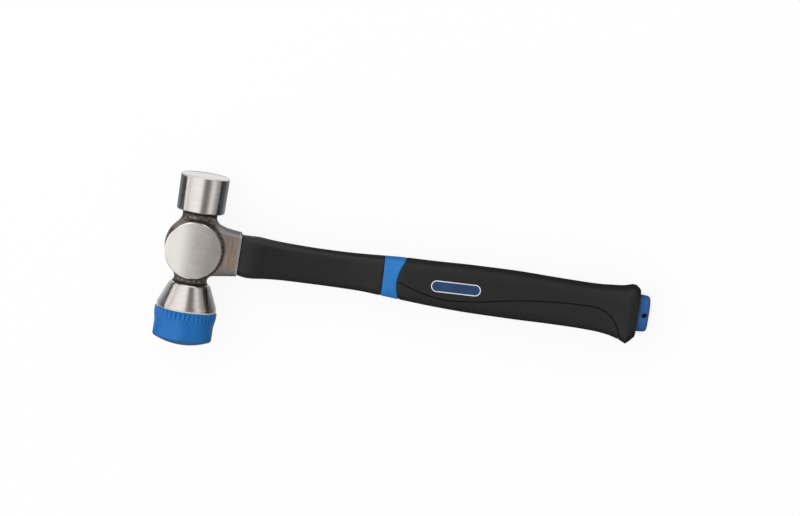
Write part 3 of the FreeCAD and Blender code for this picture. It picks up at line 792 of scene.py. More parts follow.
# Shape of the handle, as shares of its half height and half thickness. Each row: place along the
# piece, height above and below the axis, half thickness, and corner radius over half thickness.
SLEEVE_SHARES = (
    (0.0, 1.028, 1.157, 1.05, 0.62),
    (0.06, 1.026, 1.228, 1.12, 0.64),
    (0.12, 1.042, 1.209, 1.13, 0.65),
    (0.19, 0.997, 1.146, 1.08, 0.66),
    (0.31, 0.947, 1.087, 1.02, 0.68),
    (0.52, 0.914, 1.049, 0.99, 0.68),
    (0.73, 0.937, 1.028, 0.99, 0.68),
    (0.87, 0.984, 1.036, 1.05, 0.70),
    (1.0, 1.045, 1.097, 1.15, 0.74),
)
GRIP_SHARES = (
    (0.0, 0.797, 0.834, 0.852, 0.55),
    (0.087, 0.842, 0.892, 0.93, 0.6),
    (0.208, 0.875, 0.969, 1.0, 0.66),
    (0.328, 0.931, 1.017, 1.0, 0.68),
    (0.418, 0.955, 1.022, 1.0, 0.68),
    (0.539, 0.975, 1.014, 1.0, 0.68),
    (0.719, 0.942, 0.983, 0.98, 0.68),
    (0.858, 0.935, 0.998, 0.985, 0.66),
    (0.930, 0.983, 1.078, 1.02, 0.64),
    (0.972, 1.031, 1.203, 1.06, 0.62),
    (1.0, 1.115, 1.325, 1.1, 0.6),
)
HEEL_SHARES = (
    (0.0, 1.115, 1.325, 1.1, 0.6),
    (0.5, 1.11, 1.18, 1.05, 0.6),
    (1.0, 0.985, 0.995, 0.96, 0.6),
)
# The flared necks. Each row: place along the head over the boss radius, radius over the neck's own.
UPPER_NECK = (
    (0.60, 1.43), (0.65, 1.38), (0.725, 1.30), (0.80, 1.20), (0.875, 1.10), (0.95, 1.03),
    (1.025, 0.99), (1.10, 0.99), (1.16, 1.02), (1.22, 1.07),
)
LOWER_NECK = (
    (0.60, 1.46), (0.65, 1.42), (0.725, 1.32), (0.815, 1.18), (0.90, 1.04), (1.0, 0.965),
    (1.05, 0.948), (1.12, 0.965), (1.18, 1.06),
)
# The seam in the grip. Each row: place along it, height, and how far the stretch to the next row
# bows up over its length.
SEAM_SHARES = (
    (0.05, -0.02, -0.045),
    (0.268, -0.568, -0.02),
    (0.479, -0.262, 0.024),
    (0.852, 0.081, 0.178),
    (0.969, -1.031, 0.0),
    (0.975, -2.0, 0.0),
)


def smooth_row(rows, place):
    """A row of shares at any place, on a smooth curve through the given rows."""
    last = len(rows) - 1
    number = 0
    while number < last - 1 and rows[number + 1][0] < place:
        number += 1
    before = rows[max(number - 1, 0)]
    start = rows[number]
    end = rows[number + 1]
    after = rows[min(number + 2, last)]
    width = end[0] - start[0]
    step = (place - start[0]) / width
    found = []
    for column in range(1, len(start)):
        slope_in = (end[column] - before[column]) / max(end[0] - before[0], 1e-9)
        slope_out = (after[column] - start[column]) / max(after[0] - start[0], 1e-9)
        square, cube = step * step, step * step * step
        found.append(
            (2 * cube - 3 * square + 1) * start[column]
            + (cube - 2 * square + step) * width * slope_in
            + (3 * square - 2 * cube) * end[column]
            + (cube - square) * width * slope_out
        )
    return found


def grip_start():
    """How far the band's front lies from the eye centre."""
    handle = settings().handle
    return settings().head.socket_length + handle.seal_thickness + handle.sleeve_length


def grip_section(along, inset):
    """The grip's outside at a place along the handle: above, below, side and corner."""
    handle = settings().handle
    from_front = along - grip_start()
    place = from_front / handle.grip_length
    if place <= 1:
        row = smooth_row(GRIP_SHARES, max(place, 0))
    else:
        past = min((from_front - handle.grip_length) / handle.heel_bevel, 1)
        first, second = HEEL_SHARES[:2] if past < 0.5 else HEEL_SHARES[1:]
        step = (past - first[0]) / (second[0] - first[0])
        row = [a + (b - a) * step for a, b in zip(first[1:], second[1:])]
    sizes = (handle.grip_height, handle.grip_height, handle.grip_thickness, handle.grip_thickness)
    return [size * part - inset for size, part in zip(sizes, row)]


def band_edge(up, shift=0.0):
    """Where the grip's curved front edge lies at a height."""
    handle = settings().handle
    level = up / handle.grip_height
    return (grip_start() + handle.band_length + handle.band_bow * level * level
            + handle.band_lean * level + shift)


def grip_ring(place_of, inset):
    """A ring of the grip's outside. place_of gives the place along the handle at a height."""
    points = 96
    ring = []
    for number in range(points):
        up = 0.0
        for _ in range(4):
            along = place_of(up)
            up, out = outline_point(*grip_section(along, inset), number / points)
        ring.append(Vector((along, up, out)))
    return ring


def socket_ring(along, inset, points):
    """A ring of the socket's outside at a place along it."""
    head = settings().head
    shrink = along / head.socket_length
    narrowing = head.socket_root_height - head.socket_mouth_height
    thinning = head.socket_root_thickness - head.socket_mouth_thickness
    height = head.socket_root_height - narrowing * shrink - inset
    thickness = head.socket_root_thickness - thinning * shrink - inset
    return outline_ring(along, height - head.socket_drop, height + head.socket_drop,
                        thickness, head.socket_corner - inset, points)


class HammerOperator:
    """What all of the hammer's operators share."""

    bl_options = {"REGISTER", "UNDO"}


class SHOPHAMMER_OT_forged_body(HammerOperator, Operator):
    """Builds the forged middle of the head: boss, two necks and the handle socket"""

    bl_idname = "shophammer.forged_body"
    bl_label = "Forged body"

    def execute(self, context):
        head = settings().head
        steps = 6
        reach = head.socket_length - head.mouth_rim * 0.5
        socket = skin_of([socket_ring(reach * step / steps, 0, 64) for step in range(steps + 1)])
        webs = [self.web(head, head.upper_blend, 1), self.web(head, head.lower_blend, -1)]
        raw = scratch(joined([self.boss(head), self.necks(head), socket, *webs]), "forging")
        step = raw.modifiers.new("grid", "REMESH")
        step.mode = "VOXEL"
        step.voxel_size = head.skin_step
        mesh = settle(raw)
        self.smooth(mesh, head)
        mesh = cut_away(mesh, self.eye(head), "forging")
        finish_piece(mesh, "forged_body", [forged_skin()], 50, ("head_forging",))
        return {"FINISHED"}

    def boss(self, head):
        """The swollen round boss, just inside the cheek discs."""
        half = head.boss_thickness / 2 - 1 * MM
        swell = head.boss_radius - head.cheek_radius
        levels = [-1 + 2 * step / 12 for step in range(13)]
        side = [(head.cheek_radius + swell * (1 - level * level) - 0.05 * MM, half * level)
                for level in levels]
        mesh = lathe([(0, -half), *side, (0, half)], 160, "Z")
        bmesh.ops.translate(mesh, verts=mesh.verts, vec=(-head.boss_back, 0, 0))
        return mesh

    def necks(self, head):
        """Both flared necks, squeezed where they would stand out of the cheeks."""
        top = head.poll_shoulder + 1.2 * MM
        bottom = -head.cone_shoulder - 1.4 * MM
        lower, upper = (
            [(head.neck_radius * radius, side * head.boss_radius * place) for place, radius in rows]
            for rows, side in ((LOWER_NECK, -1), (UPPER_NECK, 1))
        )
        mesh = lathe([(0, bottom), (lower[-1][0], bottom), *reversed(lower), *upper,
                      (upper[-1][0], top), (0, top)], 128, "Y")
        flat = head.boss_thickness / 2 - 3 * MM
        squeeze = 0.3
        for vert in mesh.verts:
            past = abs(vert.co.z) - flat
            if past > 0:
                vert.co.z = math.copysign(flat + past * squeeze, vert.co.z)
        return mesh

    def web(self, head, radius, side):
        """The fillet between a neck and the socket, as a web with a round edge."""
        slope = (head.socket_root_height - head.socket_mouth_height) / head.socket_length
        foot = head.neck_radius + radius
        foot_up = head.socket_root_height - slope * foot
        inside = head.neck_radius / 2
        bend = arc((foot, foot_up + radius), radius, 180, 270, 12)
        corners = [*bend, (foot, inside), (inside, inside), (inside, foot_up + radius)]
        return prism([(along, up * side) for along, up in corners],
                     head.socket_mouth_thickness - 2.2 * MM)

    def eye(self, head):
        """The eye's open end, which widens towards the outside."""
        mouth = -head.boss_radius
        rings = []
        for along, grow in ((mouth - 5 * MM, 0.9 * MM), (mouth + 0.4 * MM, 0.5 * MM),
                            (mouth + 1.4 * MM, 0.0), (mouth + head.eye_recess, 0.0)):
            height = head.eye_height + grow
            rings.append(outline_ring(along, height, height, head.eye_thickness + grow,
                                      head.eye_corner + grow, 64))
        return skin_of(rings)

    def smooth(self, mesh, head):
        """Smooths the whole skin a little, and the necks' roots and the webs a lot."""
        end_gap = 0.4 * MM
        roots = []
        soften(mesh, mesh.verts[:], 3)
        for vert in mesh.verts:
            along, up, _ = vert.co
            beside_neck = abs(up) > 14 * MM and abs(along) < 18.5 * MM
            on_web = 8 * MM < along < 25 * MM and abs(up) > 9.5 * MM
            inside_ends = -head.cone_shoulder + end_gap < up < head.poll_shoulder - end_gap
            if (beside_neck or on_web) and inside_ends:
                roots.append(vert)
        soften(mesh, roots, 24)


class SHOPHAMMER_OT_turned_head(HammerOperator, Operator):
    """Builds the turned ends of the head: the striking face and the cone"""

    bl_idname = "shophammer.turned_head"
    bl_label = "Striking face and cone"

    def execute(self, context):
        head = settings().head
        steel = turned_steel()
        back = head.poll_shoulder
        front = back + head.poll_length
        chamfer = head.poll_chamfer
        rear, wide = head.poll_rear_radius, head.poll_face_radius
        crown = [(radius, front + height)
                 for radius, height in crowned(wide - chamfer, head.poll_crown, 6)]
        corners = [(rear - chamfer, back), (rear, back + chamfer),
                   (wide, front - chamfer - head.poll_crown)]
        face = lathe([(0, back), *corners, *crown], 144, "Y")
        bevel(face, rings_at(face, [*corners, crown[0]]), width=0.22 * MM, segments=2)
        finish_piece(face, "striking_face", [steel], 35)

        top = -head.cone_shoulder
        land = top - head.cone_length
        base = land - head.cone_land_length
        lip = base + head.cone_lip
        outside = head.cone_land_radius
        hole = head.hole_radius
        hole_chamfer = 0.8 * MM
        roof = base + head.hole_depth
        bead = head.cone_lip / 2
        bead_out = 0.12 * MM
        # The cone's top rounds into its flank. Each pair: beyond the top's radius, below the top.
        shoulder = ((-1.9, 0), (-0.9, 0.2), (0.1, 0.7), (0.85, 1.9))
        cone = lathe([
            (0, top),
            *((head.cone_top_radius + over * MM, top - drop * MM) for over, drop in shoulder),
            (outside, land), (outside, lip + 0.1 * MM),
            *arc((outside + bead_out - bead, lip - bead), bead, 60, -80, 8),
            (hole + hole_chamfer, base), (hole, base + hole_chamfer), (hole, roof), (0, roof),
        ], 144, "Y")
        bevel(cone, rings_at(cone, [(outside, land)]), width=1.2 * MM, segments=5)
        finish_piece(cone, "cone", [steel], 35)
        return {"FINISHED"}


def rings_at(mesh, corners):
    """The edges of a turned mesh that run round its axis through corners (radius, height)."""
    near = 0.02 * MM
    found = []
    for edge in mesh.edges:
        first, second = edge.verts
        radius, height = math.hypot(first.co.x, first.co.z), first.co.y
        level = abs(height - second.co.y) < 1e-6
        if level and abs(radius - math.hypot(second.co.x, second.co.z)) < 1e-6:
            if any(abs(radius - r) < near and abs(height - h) < near for r, h in corners):
                found.append(edge)
    return found


class SHOPHAMMER_OT_cheeks(HammerOperator, Operator):
    """Builds the two ground cheeks of the boss and the rim of the socket's mouth"""

    bl_idname = "shophammer.cheeks"
    bl_label = "Cheeks and mouth rim"

    def execute(self, context):
        head = settings().head
        steel = ground_cheek()
        half = head.boss_thickness / 2
        edge = head.cheek_disc
        back = half - head.cheek_depth
        profile = [
            (0, back), (edge - 0.5 * MM, back), (edge + 0.05 * MM, back + 0.5 * MM),
            (edge, half - head.cheek_crown - head.cheek_chamfer),
        ]
        for radius, height in crowned(edge - head.cheek_chamfer, head.cheek_crown, 8):
            profile.append((radius, half + height))
        for name, side in (("cheek_upper", 1), ("cheek_lower", -1)):
            disc = lathe([(radius, side * height) for radius, height in profile], 160, "Z")
            shift = (-head.cheek_back, -head.cheek_down, 0)
            bmesh.ops.translate(disc, verts=disc.verts, vec=shift)
            finish_piece(disc, name, [steel], 25)

        mouth = head.socket_length
        start = mouth - head.mouth_rim
        rim = skin_of([
            socket_ring(along, inset * MM, 96)
            for along, inset in ((start, 0.35), (start + 0.2 * MM, 0.0), (mouth - 0.25 * MM, 0.0),
                                 (mouth - 0.07 * MM, 0.08), (mouth, 0.25))
        ])
        finish_piece(rim, "socket_rim", [forged_skin()], 35)
        return {"FINISHED"}


class SHOPHAMMER_OT_tip(HammerOperator, Operator):
    """Builds the blue striking tip with its ribbed rim"""

    bl_idname = "shophammer.tip"
    bl_label = "Striking tip"

    def execute(self, context):
        head, tip = settings().head, settings().tip
        top = -(head.cone_shoulder + head.cone_length + head.cone_land_length)
        bottom = top - tip.length_over_all
        taper = top - tip.rim_height
        barrel = taper - tip.taper_length
        edge = bottom + tip.crown + tip.edge_radius
        rounding = 0.5 * MM
        rim, upright = tip.rim_radius, tip.rim_height - rounding
        side = arc((rim - rounding, top - rounding), rounding, 90, 0, 4)
        for step in range(1, 5):
            side.append((rim, top - rounding - upright * step / 4))
        for step in range(1, 13):
            level = step / 12
            ease = level * level * (3 - 2 * level) * 0.35 + level * 0.65
            side.append((rim + (tip.barrel_radius - rim) * ease, taper + (barrel - taper) * level))
        side.append((tip.barrel_radius, (barrel + edge) / 2))
        side += arc((tip.barrel_radius - tip.edge_radius, edge), tip.edge_radius, 0, -72, 6)
        face_radius, face_edge = side[-1]
        for radius, height in crowned(face_radius, bottom - face_edge, 12)[1:]:
            side.append((radius, bottom + height))
        stud, flange = tip.stud_radius, tip.flange_radius
        floor, roof = top - tip.flange_floor, top - tip.flange_top
        stud_chamfer = 0.4 * MM
        mesh = lathe([
            (0, floor), (flange, floor), (flange, roof), (stud, roof),
            (stud, top - stud_chamfer), (stud + stud_chamfer, top), *side,
        ], tip.rib_count * 12, "Y")
        self.cut_grooves(mesh, tip, top, barrel)
        plastic = moulded_plastic("tip_plastic", settings().finish.tip_blue, 0.36, 0.12, bottom)
        finish_piece(mesh, "striking_tip", [plastic], 40, ("tip_cap",), TIP_BODY)
        return {"FINISHED"}

    def cut_grooves(self, mesh, tip, top, barrel):
        """Moves the rim's points inwards between the ribs, less and less down the taper."""
        pitch = math.tau / tip.rib_count
        fade = 0.45
        for vert in mesh.verts:
            radius = math.hypot(vert.co.x, vert.co.z)
            depth = tip.groove_depth * (1.0 - fade * (top - vert.co.y) / (top - barrel))
            floor = tip.rim_radius - depth
            if radius < floor or vert.co.y < barrel or vert.co.y > top + 1e-6:
                continue
            angle = math.atan2(vert.co.z, vert.co.x) / pitch
            off = abs(angle - round(angle)) * pitch * tip.rim_radius
            level = min(off / (tip.groove_width / 2), 1.0)
            level = level * level * (3 - 2 * level)
            wall = floor + depth * level
            if radius > wall:
                vert.co.x *= wall / radius
                vert.co.z *= wall / radius


class SHOPHAMMER_OT_fittings(HammerOperator, Operator):
    """Gives the stud, the rod, the adhesive and the dark ring their finishes"""

    bl_idname = "shophammer.fittings"
    bl_label = "Stud, rod, adhesive and ring"

    def execute(self, context):
        finish = settings().finish
        dress_node("tip_stud", plated_steel())
        dress_node("handle_core", rod_fibre())
        dress_node("eye_bond", moulded_plastic("cast_adhesive", finish.adhesive, 0.3, 0.4))
        dress_node("socket_seal", matt_black("ring_rubber", finish.grip_black, 0.6, 0.3))
        return {"FINISHED"}


class SHOPHAMMER_OT_sleeve(HammerOperator, Operator):
    """Builds the black sleeve over the shaft"""

    bl_idname = "shophammer.sleeve"
    bl_label = "Shaft sleeve"

    def execute(self, context):
        head, handle = settings().head, settings().handle
        lip = handle.lip
        start = head.socket_length + handle.seal_thickness - lip
        long = handle.sleeve_length + lip
        rings = [self.ring(start + shift, shift / long, inset) for shift, inset in end_steps(lip)]
        for step in range(1, 61):
            place = (lip + (long - 2 * lip) * step / 60) / long
            rings.append(self.ring(start + place * long, place, 0.0))
        for shift, inset in end_steps(lip)[-2::-1]:
            rings.append(self.ring(start + long - shift, 1 - shift / long, inset))
        black = matt_black("sleeve_plastic", settings().finish.sleeve_black, 0.36, 0.16)
        finish_piece(skin_of(rings), "shaft_sleeve_skin", [black], 40,
                     ("shaft_sleeve",))
        return {"FINISHED"}

    def ring(self, along, place, inset):
        """A ring of the sleeve's outside, at a place along the handle and a share of its length."""
        handle = settings().handle
        above, below, side, corner = smooth_row(SLEEVE_SHARES, min(max(place, 0), 1))
        return outline_ring(
            along, handle.sleeve_height * above - inset, handle.sleeve_height * below - inset,
            handle.sleeve_thickness * side - inset, handle.sleeve_thickness * corner - inset, 96,
        )


class SHOPHAMMER_OT_band(HammerOperator, Operator):
    """Builds the blue band between the sleeve and the grip"""

    bl_idname = "shophammer.band"
    bl_label = "Blue band"

    def execute(self, context):
        handle = settings().handle
        lip, gap = handle.lip, handle.joint_gap
        start = grip_start()
        tuck = 0.8 * MM
        front_shift, front_lean = 0.4 * MM, 0.036

        def first(up):
            return start + front_shift - front_lean * up

        rings = [grip_ring(lambda up: start - tuck, lip)]
        for shift, inset in end_steps(lip):
            rings.append(grip_ring(lambda up, shift=shift: first(up) + shift, inset))
        for step in range(1, 13):
            level = step / 12

            def place(up, level=level):
                last = band_edge(up, -gap - lip)
                return first(up) + lip + (last - first(up) - lip) * level

            rings.append(grip_ring(place, 0.0))
        for shift, inset in end_steps(lip)[-2::-1]:
            rings.append(grip_ring(lambda up, shift=shift: band_edge(up, -gap - shift), inset))
        rings.append(grip_ring(lambda up: band_edge(up, tuck), lip))
        mesh = skin_of(rings)
        # Painted shade: the faces in the grooves round the band's ends get a darker copy of the
        # band's plastic.
        margin = 0.01 * MM
        for face in mesh.faces:
            along, up, _ = face.calc_center_median()
            if not first(up) - margin < along < band_edge(up, -gap) + margin:
                face.material_index = 1
        colour_of_band = settings().finish.band_blue
        blue = moulded_plastic("band_plastic", colour_of_band, 0.34, 0.10)
        painted_joint_shade = moulded_plastic("band_plastic_painted_shade", tinted(colour_of_band, 0.14), 0.5, 0.10)
        finish_piece(mesh, "grip_band", [blue, painted_joint_shade], 40, ("grip_liner",))
        return {"FINISHED"}


def seam_line(shift):
    """Points of the seam, moved up by a distance."""
    handle = settings().handle
    start = grip_start()
    corners = [(start + handle.grip_length * row[0], handle.grip_height * row[1], row[2])
               for row in SEAM_SHARES]
    points = []
    for (along, up, bulge), following in zip(corners, corners[1:]):
        run, rise = following[0] - along, following[1] - up
        steps = 14 if bulge else 2
        for step in range(steps):
            level = step / steps
            bow = 4 * bulge * level * (1 - level)
            points.append((along + run * level - rise * bow, up + rise * level + run * bow))
    points.append(corners[-1][:2])
    moved = []
    for number, (along, up) in enumerate(points):
        before = points[max(number - 1, 0)]
        after = points[min(number + 1, len(points) - 1)]
        run, rise = after[0] - before[0], after[1] - before[1]
        size = math.hypot(run, rise)
        moved.append((along - rise / size * shift, up + run / size * shift))
    return moved


class SHOPHAMMER_OT_grip(HammerOperator, Operator):
    """Builds the black grip in two mouldings with the seam between them"""

    bl_idname = "shophammer.grip"
    bl_label = "Grip cover and panel"

    def execute(self, context):
        handle = settings().handle
        grip_black = settings().finish.grip_black
        black = matt_black("grip_rubber", grip_black, 0.50, 0.30)
        far, low, wide = 400 * MM, -60 * MM, 40 * MM
        clearance, pocket_height = 0.15 * MM, 5 * MM
        edge = seam_line(handle.seam_gap / 2)
        front, back = edge[0][0] - 30 * MM, edge[-1][0]
        under_cover = [(front, low), (front, edge[0][1] + 0.2 * MM), *edge, (back, low)]
        cover = cut_away(self.whole(0.0, 0.0), prism(under_cover, wide), "cover")
        for side in (1, -1):
            pocket = badge_outline(clearance)
            grown = bmesh.ops.extrude_face_region(pocket, geom=pocket.faces[:])
            raised(pocket, grown, pocket_height)
            bmesh.ops.recalc_face_normals(pocket, faces=pocket.faces)
            put_on_side(pocket, side, handle.grip_thickness - handle.badge_thickness)
            cover = cut_away(cover, pocket, "cover")
        edge = seam_line(-handle.seam_gap / 2)
        back = edge[-1][0]
        over_panel = [(front, edge[0][1]), *edge, (back, low), (far, low), (far, -low),
                      (front, -low)]
        panel = cut_away(self.whole(0.0, 0.0), prism(over_panel, wide), "panel")
        for mesh, node in ((cover, "grip_cover"), (panel, "grip_panel")):
            piece = finish_piece(mesh, "%s_skin" % node, [black], 30, (node,))
            step = piece.modifiers.new("soft edges", "BEVEL")
            step.limit_method = "ANGLE"
            step.angle_limit = math.radians(32)
            step.width = 0.3 * MM
            step.segments = 2
            step.use_clamp_overlap = True
            step.harden_normals = True
        # Painted shade: the underlay under the seam is a darker copy of the grip's rubber.
        inner = self.whole(handle.seam_depth, 0.6 * MM)
        deep = matt_black("seam_rubber_painted_shade", tinted(grip_black, 0.15), 0.7, 0.30)
        finish_piece(inner, "grip_underlay", [deep], 30)
        return {"FINISHED"}

    def whole(self, inset, shift):
        """The grip's whole outside, from its curved front edge to the butt."""
        handle = settings().handle
        lip = handle.lip
        heel = grip_start() + handle.grip_length
        rings = [grip_ring(lambda up, s=edge_shift: band_edge(up, s + shift), inset + edge_inset)
                 for edge_shift, edge_inset in end_steps(lip)]
        for step in range(1, 81):
            level = step / 80

            def place(up, level=level):
                first = band_edge(up, lip + shift)
                return first + (heel - first) * level

            rings.append(grip_ring(place, inset))
        for step in range(1, 5):
            along = heel + handle.heel_bevel * step / 4 - shift * (step == 4)
            rings.append(grip_ring(lambda up, along=along: along, inset))
        return skin_of(rings)


def badge_outline(grow):
    """A flat pill, the shape of a badge, grown all round by a distance."""
    handle = settings().handle
    width = handle.badge_width + 2 * grow
    almost_half = 0.4999
    mesh = bmesh.new()
    bmesh.ops.create_grid(mesh, x_segments=1, y_segments=1, size=0.5)
    bmesh.ops.scale(mesh, verts=mesh.verts, vec=(handle.badge_length + 2 * grow, width, 1))
    bmesh.ops.bevel(
        mesh, geom=mesh.verts[:], offset=width * almost_half, offset_type="OFFSET",
        segments=14, profile=0.5, affect="VERTICES", material=-1,
    )
    bmesh.ops.remove_doubles(mesh, verts=mesh.verts, dist=0.02 * MM)
    return mesh


def put_on_side(mesh, side, level):
    """Moves a shape drawn on the ground to one side of the grip, at a distance from its axis."""
    handle = settings().handle
    along = grip_start() + handle.badge_place
    turn = Matrix.Rotation(handle.badge_tilt, 4, "Z")
    if side < 0:
        turn = turn @ Matrix.Rotation(math.pi, 4, "X")
    place = Matrix.Translation((along, 0, side * level))
    bmesh.ops.transform(mesh, matrix=place @ turn, verts=mesh.verts)


class SHOPHAMMER_OT_badges(HammerOperator, Operator):
    """Builds the blank badge in each side of the grip"""

    bl_idname = "shophammer.badges"
    bl_label = "Badges"

    def execute(self, context):
        handle, finish = settings().handle, settings().finish
        looks = [moulded_plastic("badge_field", finish.badge_field, 0.25, 0.05),
                 moulded_plastic("badge_rim", finish.badge_rim, 0.3, 0.05)]
        edge_width, edge_height = 0.15 * MM, 0.12 * MM
        flat_rim = handle.badge_rim - 2 * edge_width
        floor = handle.grip_thickness + handle.badge_stand_out - handle.badge_thickness
        for part, side in (("upper", 1), ("lower", -1)):
            mesh = badge_outline(0.0)
            grown = bmesh.ops.extrude_face_region(mesh, geom=mesh.faces[:])
            raised(mesh, grown, handle.badge_thickness)
            top = next(item for item in grown["geom"] if isinstance(item, bmesh.types.BMFace))
            for width, depth in ((edge_width, edge_height), (flat_rim, 0.0),
                                 (edge_height, -edge_height)):
                bmesh.ops.inset_region(mesh, faces=[top], thickness=width, depth=depth)
            for face in mesh.faces:
                face.material_index = 0 if face == top else 1
            put_on_side(mesh, side, floor - edge_height)
            finish_piece(mesh, "badge_plate_%s" % part, looks, 30,
                         ("badge_%s" % part,))
        return {"FINISHED"}


class SHOPHAMMER_OT_butt_plug(HammerOperator, Operator):
    """Gives the butt plug its finish"""

    bl_idname = "shophammer.butt_plug"
    bl_label = "Butt plug"

    def execute(self, context):
        blue = moulded_plastic("plug_plastic", settings().finish.plug_blue, 0.40, 0.12)
        dress_node("butt_plug", blue)
        return {"FINISHED"}


class SHOPHAMMER_OT_studio(HammerOperator, Operator):
    """Sets up the floor, the light and the camera"""

    bl_idname = "shophammer.studio"
    bl_label = "Studio"

    def execute(self, context):
        self.add_floor()
        self.add_reflection_card()
        self.add_world()
        self.add_lights()
        self.add_camera()
        context.scene.view_settings.view_transform = "Standard"
        return {"FINISHED"}

    def add_floor(self):
        """A pale floor, white in the picture and in reflections apart from the soft shadow and a
        painted shade under the hang hole.
        """
        mesh = bmesh.new()
        bmesh.ops.create_grid(mesh, x_segments=4, y_segments=4, size=20)
        floor = scratch(mesh, "floor")
        material, shader = new_material("pale_floor")
        base = settings().finish.floor
        cloud = shader.noise(shader.place((0, 0, 0)), 3.0)
        tone = shader.blend(cloud, base, tinted(base, 1.02), 0.3, 0.7)
        # Painted shade: the hang hole looks dark, so a soft dark shade is painted where the camera
        # sees the floor in it.
        hole = mount_place("hang_hole")
        seen_shift = 2.9 * MM
        across, along, _ = shader.parts(shader.place((hole.x, hole.y - seen_shift, 0)))
        away = (across * across + along * along * 0.2) ** 0.5
        painted_hole_shade = shader.ramp(away, 8 * MM, 1 * MM, 0.0, 0.85)
        tone = shader.mix(painted_hole_shade, tone, (0.02, 0.03, 0.06))
        matt = shader.value("ShaderNodeBsdfDiffuse", None, {"Color": tone})
        white = shader.value("ShaderNodeEmission", None, {"Color": (1, 1, 1, 1), "Strength": 1.0})
        path = shader.node("ShaderNodeLightPath")
        seen = sum(Value(shader, path.outputs[name])
                   for name in ("Is Camera Ray", "Is Glossy Ray", "Is Transmission Ray"))
        cover = shader.value("ShaderNodeMath", {"operation": "MINIMUM"}, {0: seen, 1: 1.0}) * 0.90
        cover = cover * (1.0 - painted_hole_shade)
        shader.finish_with(shader.value("ShaderNodeMixShader", None, {0: cover, 1: matt, 2: white}))
        floor.data.materials.append(material)

    def add_reflection_card(self):
        """A dark sheet beside the head that glows in grey bands and is seen only in the polished
        sides' reflections: a painted reflection.
        """
        head = settings().head
        reach, deep = 500 * MM, 400 * MM
        middle, wing, upright, lift = 60 * MM, 350 * MM, 95 * MM, 0.2 * MM
        front = eye_centre.y + head.poll_shoulder + head.poll_length + 1 * MM
        mesh = bmesh.new()
        bmesh.ops.create_grid(mesh, x_segments=2, y_segments=1, size=0.5)
        bmesh.ops.scale(mesh, verts=mesh.verts, vec=(2 * reach, deep, 1))
        for vert in mesh.verts:
            if abs(vert.co.x) < 1 * MM:
                vert.co.x = middle
            elif vert.co.x > 0 and vert.co.y > 0:
                vert.co.y += wing
        bmesh.ops.translate(mesh, verts=mesh.verts, vec=(eye_centre.x, front - deep / 2, lift))
        far_edge = [edge for edge in mesh.edges
                    if all(vert.co.x > eye_centre.x + reach / 2 for vert in edge.verts)]
        raised(mesh, bmesh.ops.extrude_edge_only(mesh, edges=far_edge), upright)
        card = scratch(mesh, "painted_reflection_card")
        material, shader = new_material("painted_reflection_card")
        across, along, _ = shader.parts(shader.place())
        greys = ((0.0, 0.45), (0.05, 0.30), (0.14, 0.10), (0.40, 0.05), (1.0, 0.05))
        stops = [(place, (grey,) * 3) for place, grey in greys]
        tone = shader.value("ShaderNodeValToRGB", {"stops": stops}, {"Fac": abs(across) / reach})
        beside_cone = shader.between(along, -62 * MM, -50 * MM, -5 * MM, 12 * MM)
        under_tip = shader.ramp(along, -55 * MM, -70 * MM)
        right = shader.ramp(across, -10 * MM, 10 * MM)
        # Painted reflection: the sheet glows brighter beside the cone and dimmer under the tip.
        strength = 1.0 + beside_cone * (1.6 - right * 1.1) + right * 0.15 - under_tip * 0.75
        glow = shader.value("ShaderNodeEmission", None, {"Color": tone, "Strength": strength})
        shader.finish_with(glow)
        card.data.materials.append(material)
        card.visible_camera = False
        card.visible_diffuse = False
        card.visible_shadow = False
        card.visible_transmission = False

    def add_world(self):
        """Soft light from large panels that stand round the hammer, brightest on its left."""
        world = bpy.data.worlds.new("studio")
        bpy.context.scene.world = world
        world.use_nodes = True
        world.node_tree.nodes.clear()
        shader = Shader(world.node_tree)
        across, along, out = shader.parts(shader.value("ShaderNodeTexCoord", output="Generated"))
        turn = shader.value("ShaderNodeMath", {"operation": "ARCTAN2"}, {0: across, 1: out})
        # Each pair: how far round the head's axis, as a share of a turn, and the level of light.
        panels = (
            (0.00, 1.35), (0.03, 1.25), (0.07, 1.00), (0.12, 1.05), (0.18, 1.30), (0.31, 1.40),
            (0.41, 1.38), (0.462, 1.15), (0.478, 0.95), (0.492, 0.58), (0.515, 0.45),
            (0.553, 0.28), (0.608, 0.25), (0.668, 0.50), (0.722, 1.00), (0.785, 1.00),
            (0.845, 0.60), (0.91, 0.42), (0.96, 0.33), (1.00, 0.24),
        )
        warm, brightest = (1.0, 0.965, 0.94), 1.4
        stops = [(place, tuple(part * level / brightest for part in warm))
                 for place, level in panels]
        lit = shader.value("ShaderNodeValToRGB", {"stops": stops}, {"Fac": turn / math.pi + 0.5})
        lit = shader.mix(shader.ramp(along, 0.82, 0.96), lit, (0.95, 0.95, 0.95))
        lit = shader.mix(shader.ramp(along, -0.72, -0.90), lit, (0.30, 0.30, 0.30))
        glow = shader.value("ShaderNodeBackground", None, {"Color": lit, "Strength": brightest})
        shader.node("ShaderNodeOutputWorld", None, {"Surface": glow})

    def add_lights(self):
        """One large soft light above and to the left, which no reflection shows."""
        lamp = bpy.data.lights.new("key", "AREA")
        lamp.shape = "SQUARE"
        lamp.size = 1.6
        lamp.energy = settings().studio.key_power
        key = bpy.data.objects.new("key", lamp)
        bpy.context.scene.collection.objects.link(key)
        key.location = eye_centre + Vector((-0.5, 0.5, 1.2))
        aim = Vector((0, 0, 0.02)) - key.location
        key.rotation_mode = "QUATERNION"
        key.rotation_quaternion = aim.to_track_quat("-Z", "Y")
        key.visible_glossy = False
        key.visible_camera = False

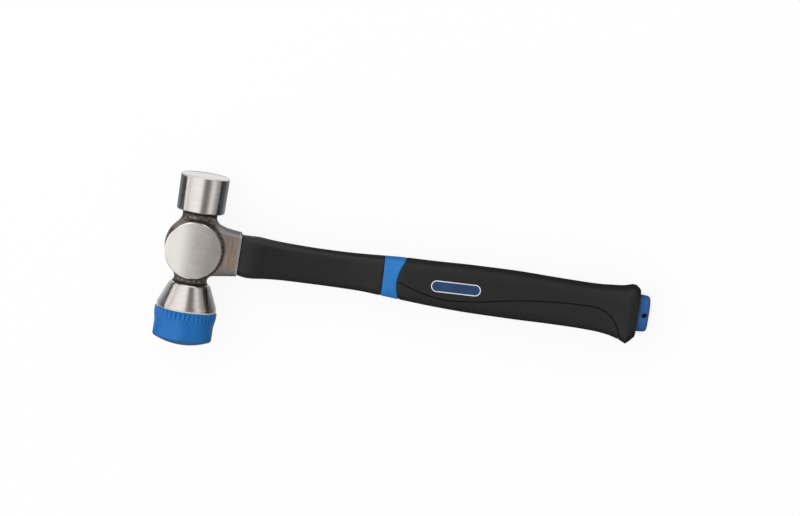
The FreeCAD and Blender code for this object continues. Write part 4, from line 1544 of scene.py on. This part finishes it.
    def add_camera(self):
        """The photograph's camera: turned by roll, yaw and tilt, and far away."""
        studio = settings().studio
        width, height, sensor = 800, 516, 36
        axes = (Matrix.Rotation(studio.roll, 3, "Z") @ Matrix.Rotation(studio.yaw, 3, "Y")
                @ Matrix.Rotation(-studio.tilt, 3, "X"))
        right, up, back = axes.col
        aim = eye_centre + right * (width / 2 - studio.eye_column) * studio.pixel
        aim -= up * (height / 2 - studio.eye_row) * studio.pixel
        camera = bpy.data.cameras.new("camera")
        camera.sensor_width = sensor
        camera.lens = sensor * studio.distance / (width * studio.pixel)
        camera.clip_start = 0.1
        camera.clip_end = 100
        eye = bpy.data.objects.new("camera", camera)
        bpy.context.scene.collection.objects.link(eye)
        eye.matrix_world = Matrix.Translation(aim + back * studio.distance) @ axes.to_4x4()
        bpy.context.scene.camera = eye


class SHOPHAMMER_PT_panel(Panel):
    """Lists the hammer's steps in the 3D view's sidebar"""

    bl_label = "Shop hammer"
    bl_space_type = "VIEW_3D"
    bl_region_type = "UI"
    bl_category = "Shop hammer"

    def draw(self, context):
        for operator in OPERATORS:
            self.layout.operator(operator.bl_idname)
        hammer = context.scene.shop_hammer
        for group in (hammer.head, hammer.tip, hammer.handle, hammer.finish, hammer.studio):
            column = self.layout.column(align=True)
            for name in group.bl_rna.properties.keys():
                if name not in ("rna_type", "name"):
                    column.prop(group, name)


GROUPS = (HeadSizes, TipSizes, HandleSizes, Finishes, StudioSizes, HammerSettings)
OPERATORS = (
    SHOPHAMMER_OT_forged_body,
    SHOPHAMMER_OT_turned_head,
    SHOPHAMMER_OT_cheeks,
    SHOPHAMMER_OT_tip,
    SHOPHAMMER_OT_fittings,
    SHOPHAMMER_OT_sleeve,
    SHOPHAMMER_OT_band,
    SHOPHAMMER_OT_grip,
    SHOPHAMMER_OT_badges,
    SHOPHAMMER_OT_butt_plug,
    SHOPHAMMER_OT_studio,
)


def register():
    for item in (*GROUPS, *OPERATORS, SHOPHAMMER_PT_panel):
        bpy.utils.register_class(item)
    bpy.types.Scene.shop_hammer = PointerProperty(type=HammerSettings)


def unregister():
    del bpy.types.Scene.shop_hammer
    for item in reversed((*GROUPS, *OPERATORS, SHOPHAMMER_PT_panel)):
        bpy.utils.unregister_class(item)


def main():
    """Builds the whole hammer."""
    register()
    for operator in OPERATORS:
        group, step = operator.bl_idname.split(".")
        getattr(getattr(bpy.ops, group), step)()


if __name__ == "__main__":
    main()
